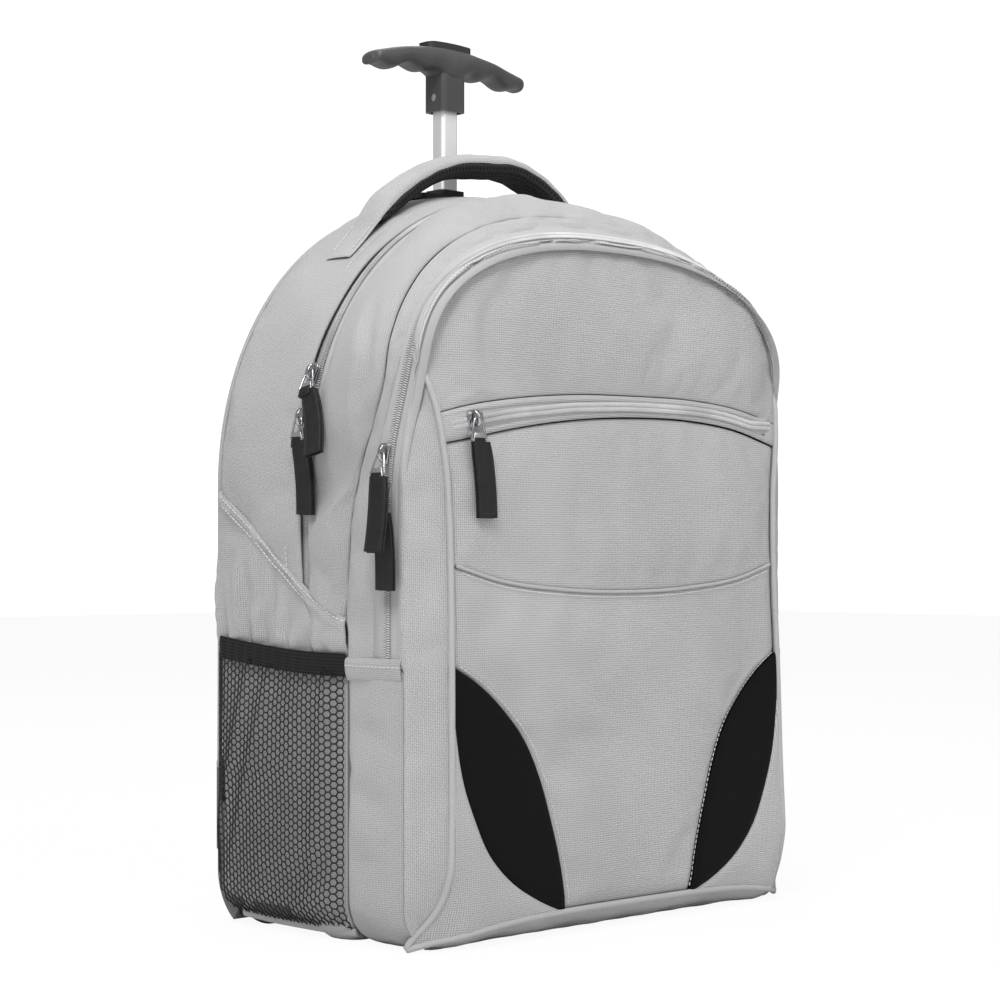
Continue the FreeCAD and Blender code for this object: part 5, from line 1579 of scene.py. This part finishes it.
def button_spring():
    """Wire spring under the release button."""
    low, high = cad_box("button_spring")
    middle = (low + high) / 2
    wire, turns = 0.6, 6.5
    t = np.linspace(0, 1, 160)
    angle = t * turns * 2 * math.pi
    radius = (high[0] - low[0]) / 2 - wire
    z = low[2] + wire + (high[2] - low[2] - 2 * wire) * smoothstep(t, 0, 1)
    path = np.stack([middle[0] + radius * np.cos(angle), middle[1] + radius * np.sin(angle), z], 1)
    out = np.stack([np.cos(angle), np.sin(angle), 0 * t], 1)
    coil = sweep("button_spring_wire", path, out, round_section(wire, wire, 8))
    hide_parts("button_spring")
    finish(coil, "steel", "inner_stage")
    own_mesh(coil)


def hardware():
    for where, travel in (("main_upper", "main_upper_travel"), ("main_lower", "main_lower_travel"),
                          ("front_upper", "front_upper_travel"), ("front_lower", "front_lower_travel")):  # fmt: skip
        kind, level = where.split("_")
        slider(f"{kind}_slider_{level}", travel, f"{where}_pull_swing")
        pull(where)
    slider("pocket_slider", "pocket_travel", "pocket_pull_swing", turned=True)
    pull("pocket")
    button_spring()


# ---- stage ------------------------------------------------------------------------------------------------------------
def stage_material():
    """Pale floor that looks almost as white as the background, so that only a faint shadow shows on it."""
    n = Nodes("floor_white")
    cloud = n.noise(n.place(), 0.8, 2.0)
    n.put("Base Color", n.ramp(cloud, [(0.3, 0.80), (0.7, 0.82)]))
    n.put("Roughness", 0.9)
    glow = n.add("ShaderNodeEmission", in_Strength=1.0)
    mix = n.add("ShaderNodeMixShader")
    seen = n.add("ShaderNodeLightPath")
    n.link(n.math("MULTIPLY", seen.outputs["Is Camera Ray"], 0.93), mix.inputs["Fac"])
    n.link(n.shader.outputs[0], mix.inputs[1])
    n.link(glow.outputs[0], mix.inputs[2])
    n.link(mix.outputs[0], n.tree.nodes["Material Output"].inputs["Surface"])


def studio():
    scene = bpy.context.scene
    stage_material()
    mesh = bpy.data.meshes.new("floor")
    size = 6.0
    mesh.from_pydata([(-size, -size, 0), (size, -size, 0), (size, size, 0), (-size, size, 0)], [], [(0, 1, 2, 3)])
    floor = bpy.data.objects.new("floor", mesh)
    scene.collection.objects.link(floor)
    mesh.materials.append(MATERIALS["floor_white"])
    floor.location.z = -0.0006
    world = bpy.data.worlds.new("studio")
    scene.world = world
    world.use_nodes = True
    tree = world.node_tree
    tree.nodes["Background"].inputs["Color"].default_value = (1, 1, 1, 1)
    seen = tree.nodes.new("ShaderNodeLightPath")
    strength = tree.nodes.new("ShaderNodeMapRange")
    strength.inputs["To Min"].default_value = 0.42
    strength.inputs["To Max"].default_value = 1.1
    tree.links.new(seen.outputs["Is Camera Ray"], strength.inputs["Value"])
    tree.links.new(strength.outputs[0], tree.nodes["Background"].inputs["Strength"])
    lights = (
        ("key", (-1.3, -0.9, 1.9), 0.8, 38.0),
        ("front", (0.6, -2.1, 1.7), 1.2, 14.0),
        ("top", (-0.2, 0.1, 2.4), 1.0, 21.0),
        ("rim", (1.2, 1.6, 1.6), 1.2, 10.0),
    )
    for name, place, size, power in lights:
        data = bpy.data.lights.new(name, "AREA")
        data.shape = "SQUARE"
        data.size = size
        data.energy = power
        lamp = bpy.data.objects.new(name, data)
        lamp.location = place
        aim = Vector((0, 0, 0.25)) - Vector(place)
        lamp.rotation_euler = aim.to_track_quat("-Z", "Y").to_euler()
        scene.collection.objects.link(lamp)
    data = bpy.data.cameras.new("camera")
    data.lens = 81.7
    data.sensor_width = 36.0
    data.shift_y = 0.054
    camera = bpy.data.objects.new("camera", data)
    camera.location = (-1.0037, -1.0339, 0.2227)
    camera.rotation_euler = (math.radians(90), 0, math.radians(-43.9))
    scene.collection.objects.link(camera)
    scene.camera = camera
    scene.view_settings.view_transform = "Standard"


def dress_cad_nodes():
    """Materials for the CAD nodes whose shape is right."""
    worn = {
        "tube_aluminium": ["inner_tube", "middle_tube", "outer_tube"],
        "grip_charcoal": ["grip"],
        "button_black": ["release_button", "middle_bush", "middle_glide", "top_bezel", "tube_foot", "lock_block"],
        "steel": ["axles", "push_rod", "lock_pin", "grip_rivets", "housing_screws", "button_spring"],
        "housing_grey": ["wheel_base"],
        "hub_black": ["hub_left", "hub_right", "base_board"],
        "tyre_black": ["tyre_left", "tyre_right"],
        "lining_grey": ["compartment_divider", "laptop_sleeve", "trolley_lining"],
        "air_mesh_black": ["back_panel", "back_pads", "shoulder_straps"],
        "buckle_black": ["ladder_locks"],
        "webbing_black": ["strap_webbings"],
        "canvas_grey": ["carry_handle"],
        "zip_metal": [n for n in frame["nodes"] if n.endswith("_link") or "slider" in n],
        "tab_black": [n for n in frame["nodes"] if n.endswith("_tab")],
    }
    for material, names in worn.items():
        for name in names:
            slots = frame["nodes"][name].data.materials
            slots.clear()
            slots.append(MATERIALS[material])


make_materials()
dress_cad_nodes()
rear_gusset()
front_gusset()
front_compartment()
front_piping(front_border())
upper_panel()
pocket_panels()
lower_panels()
zips()
lower_side_panel()
mesh_pockets()
pocket_bindings()
pocket_elastics()
carry_handle()
back_panel()
straps()
hardware()
studio()
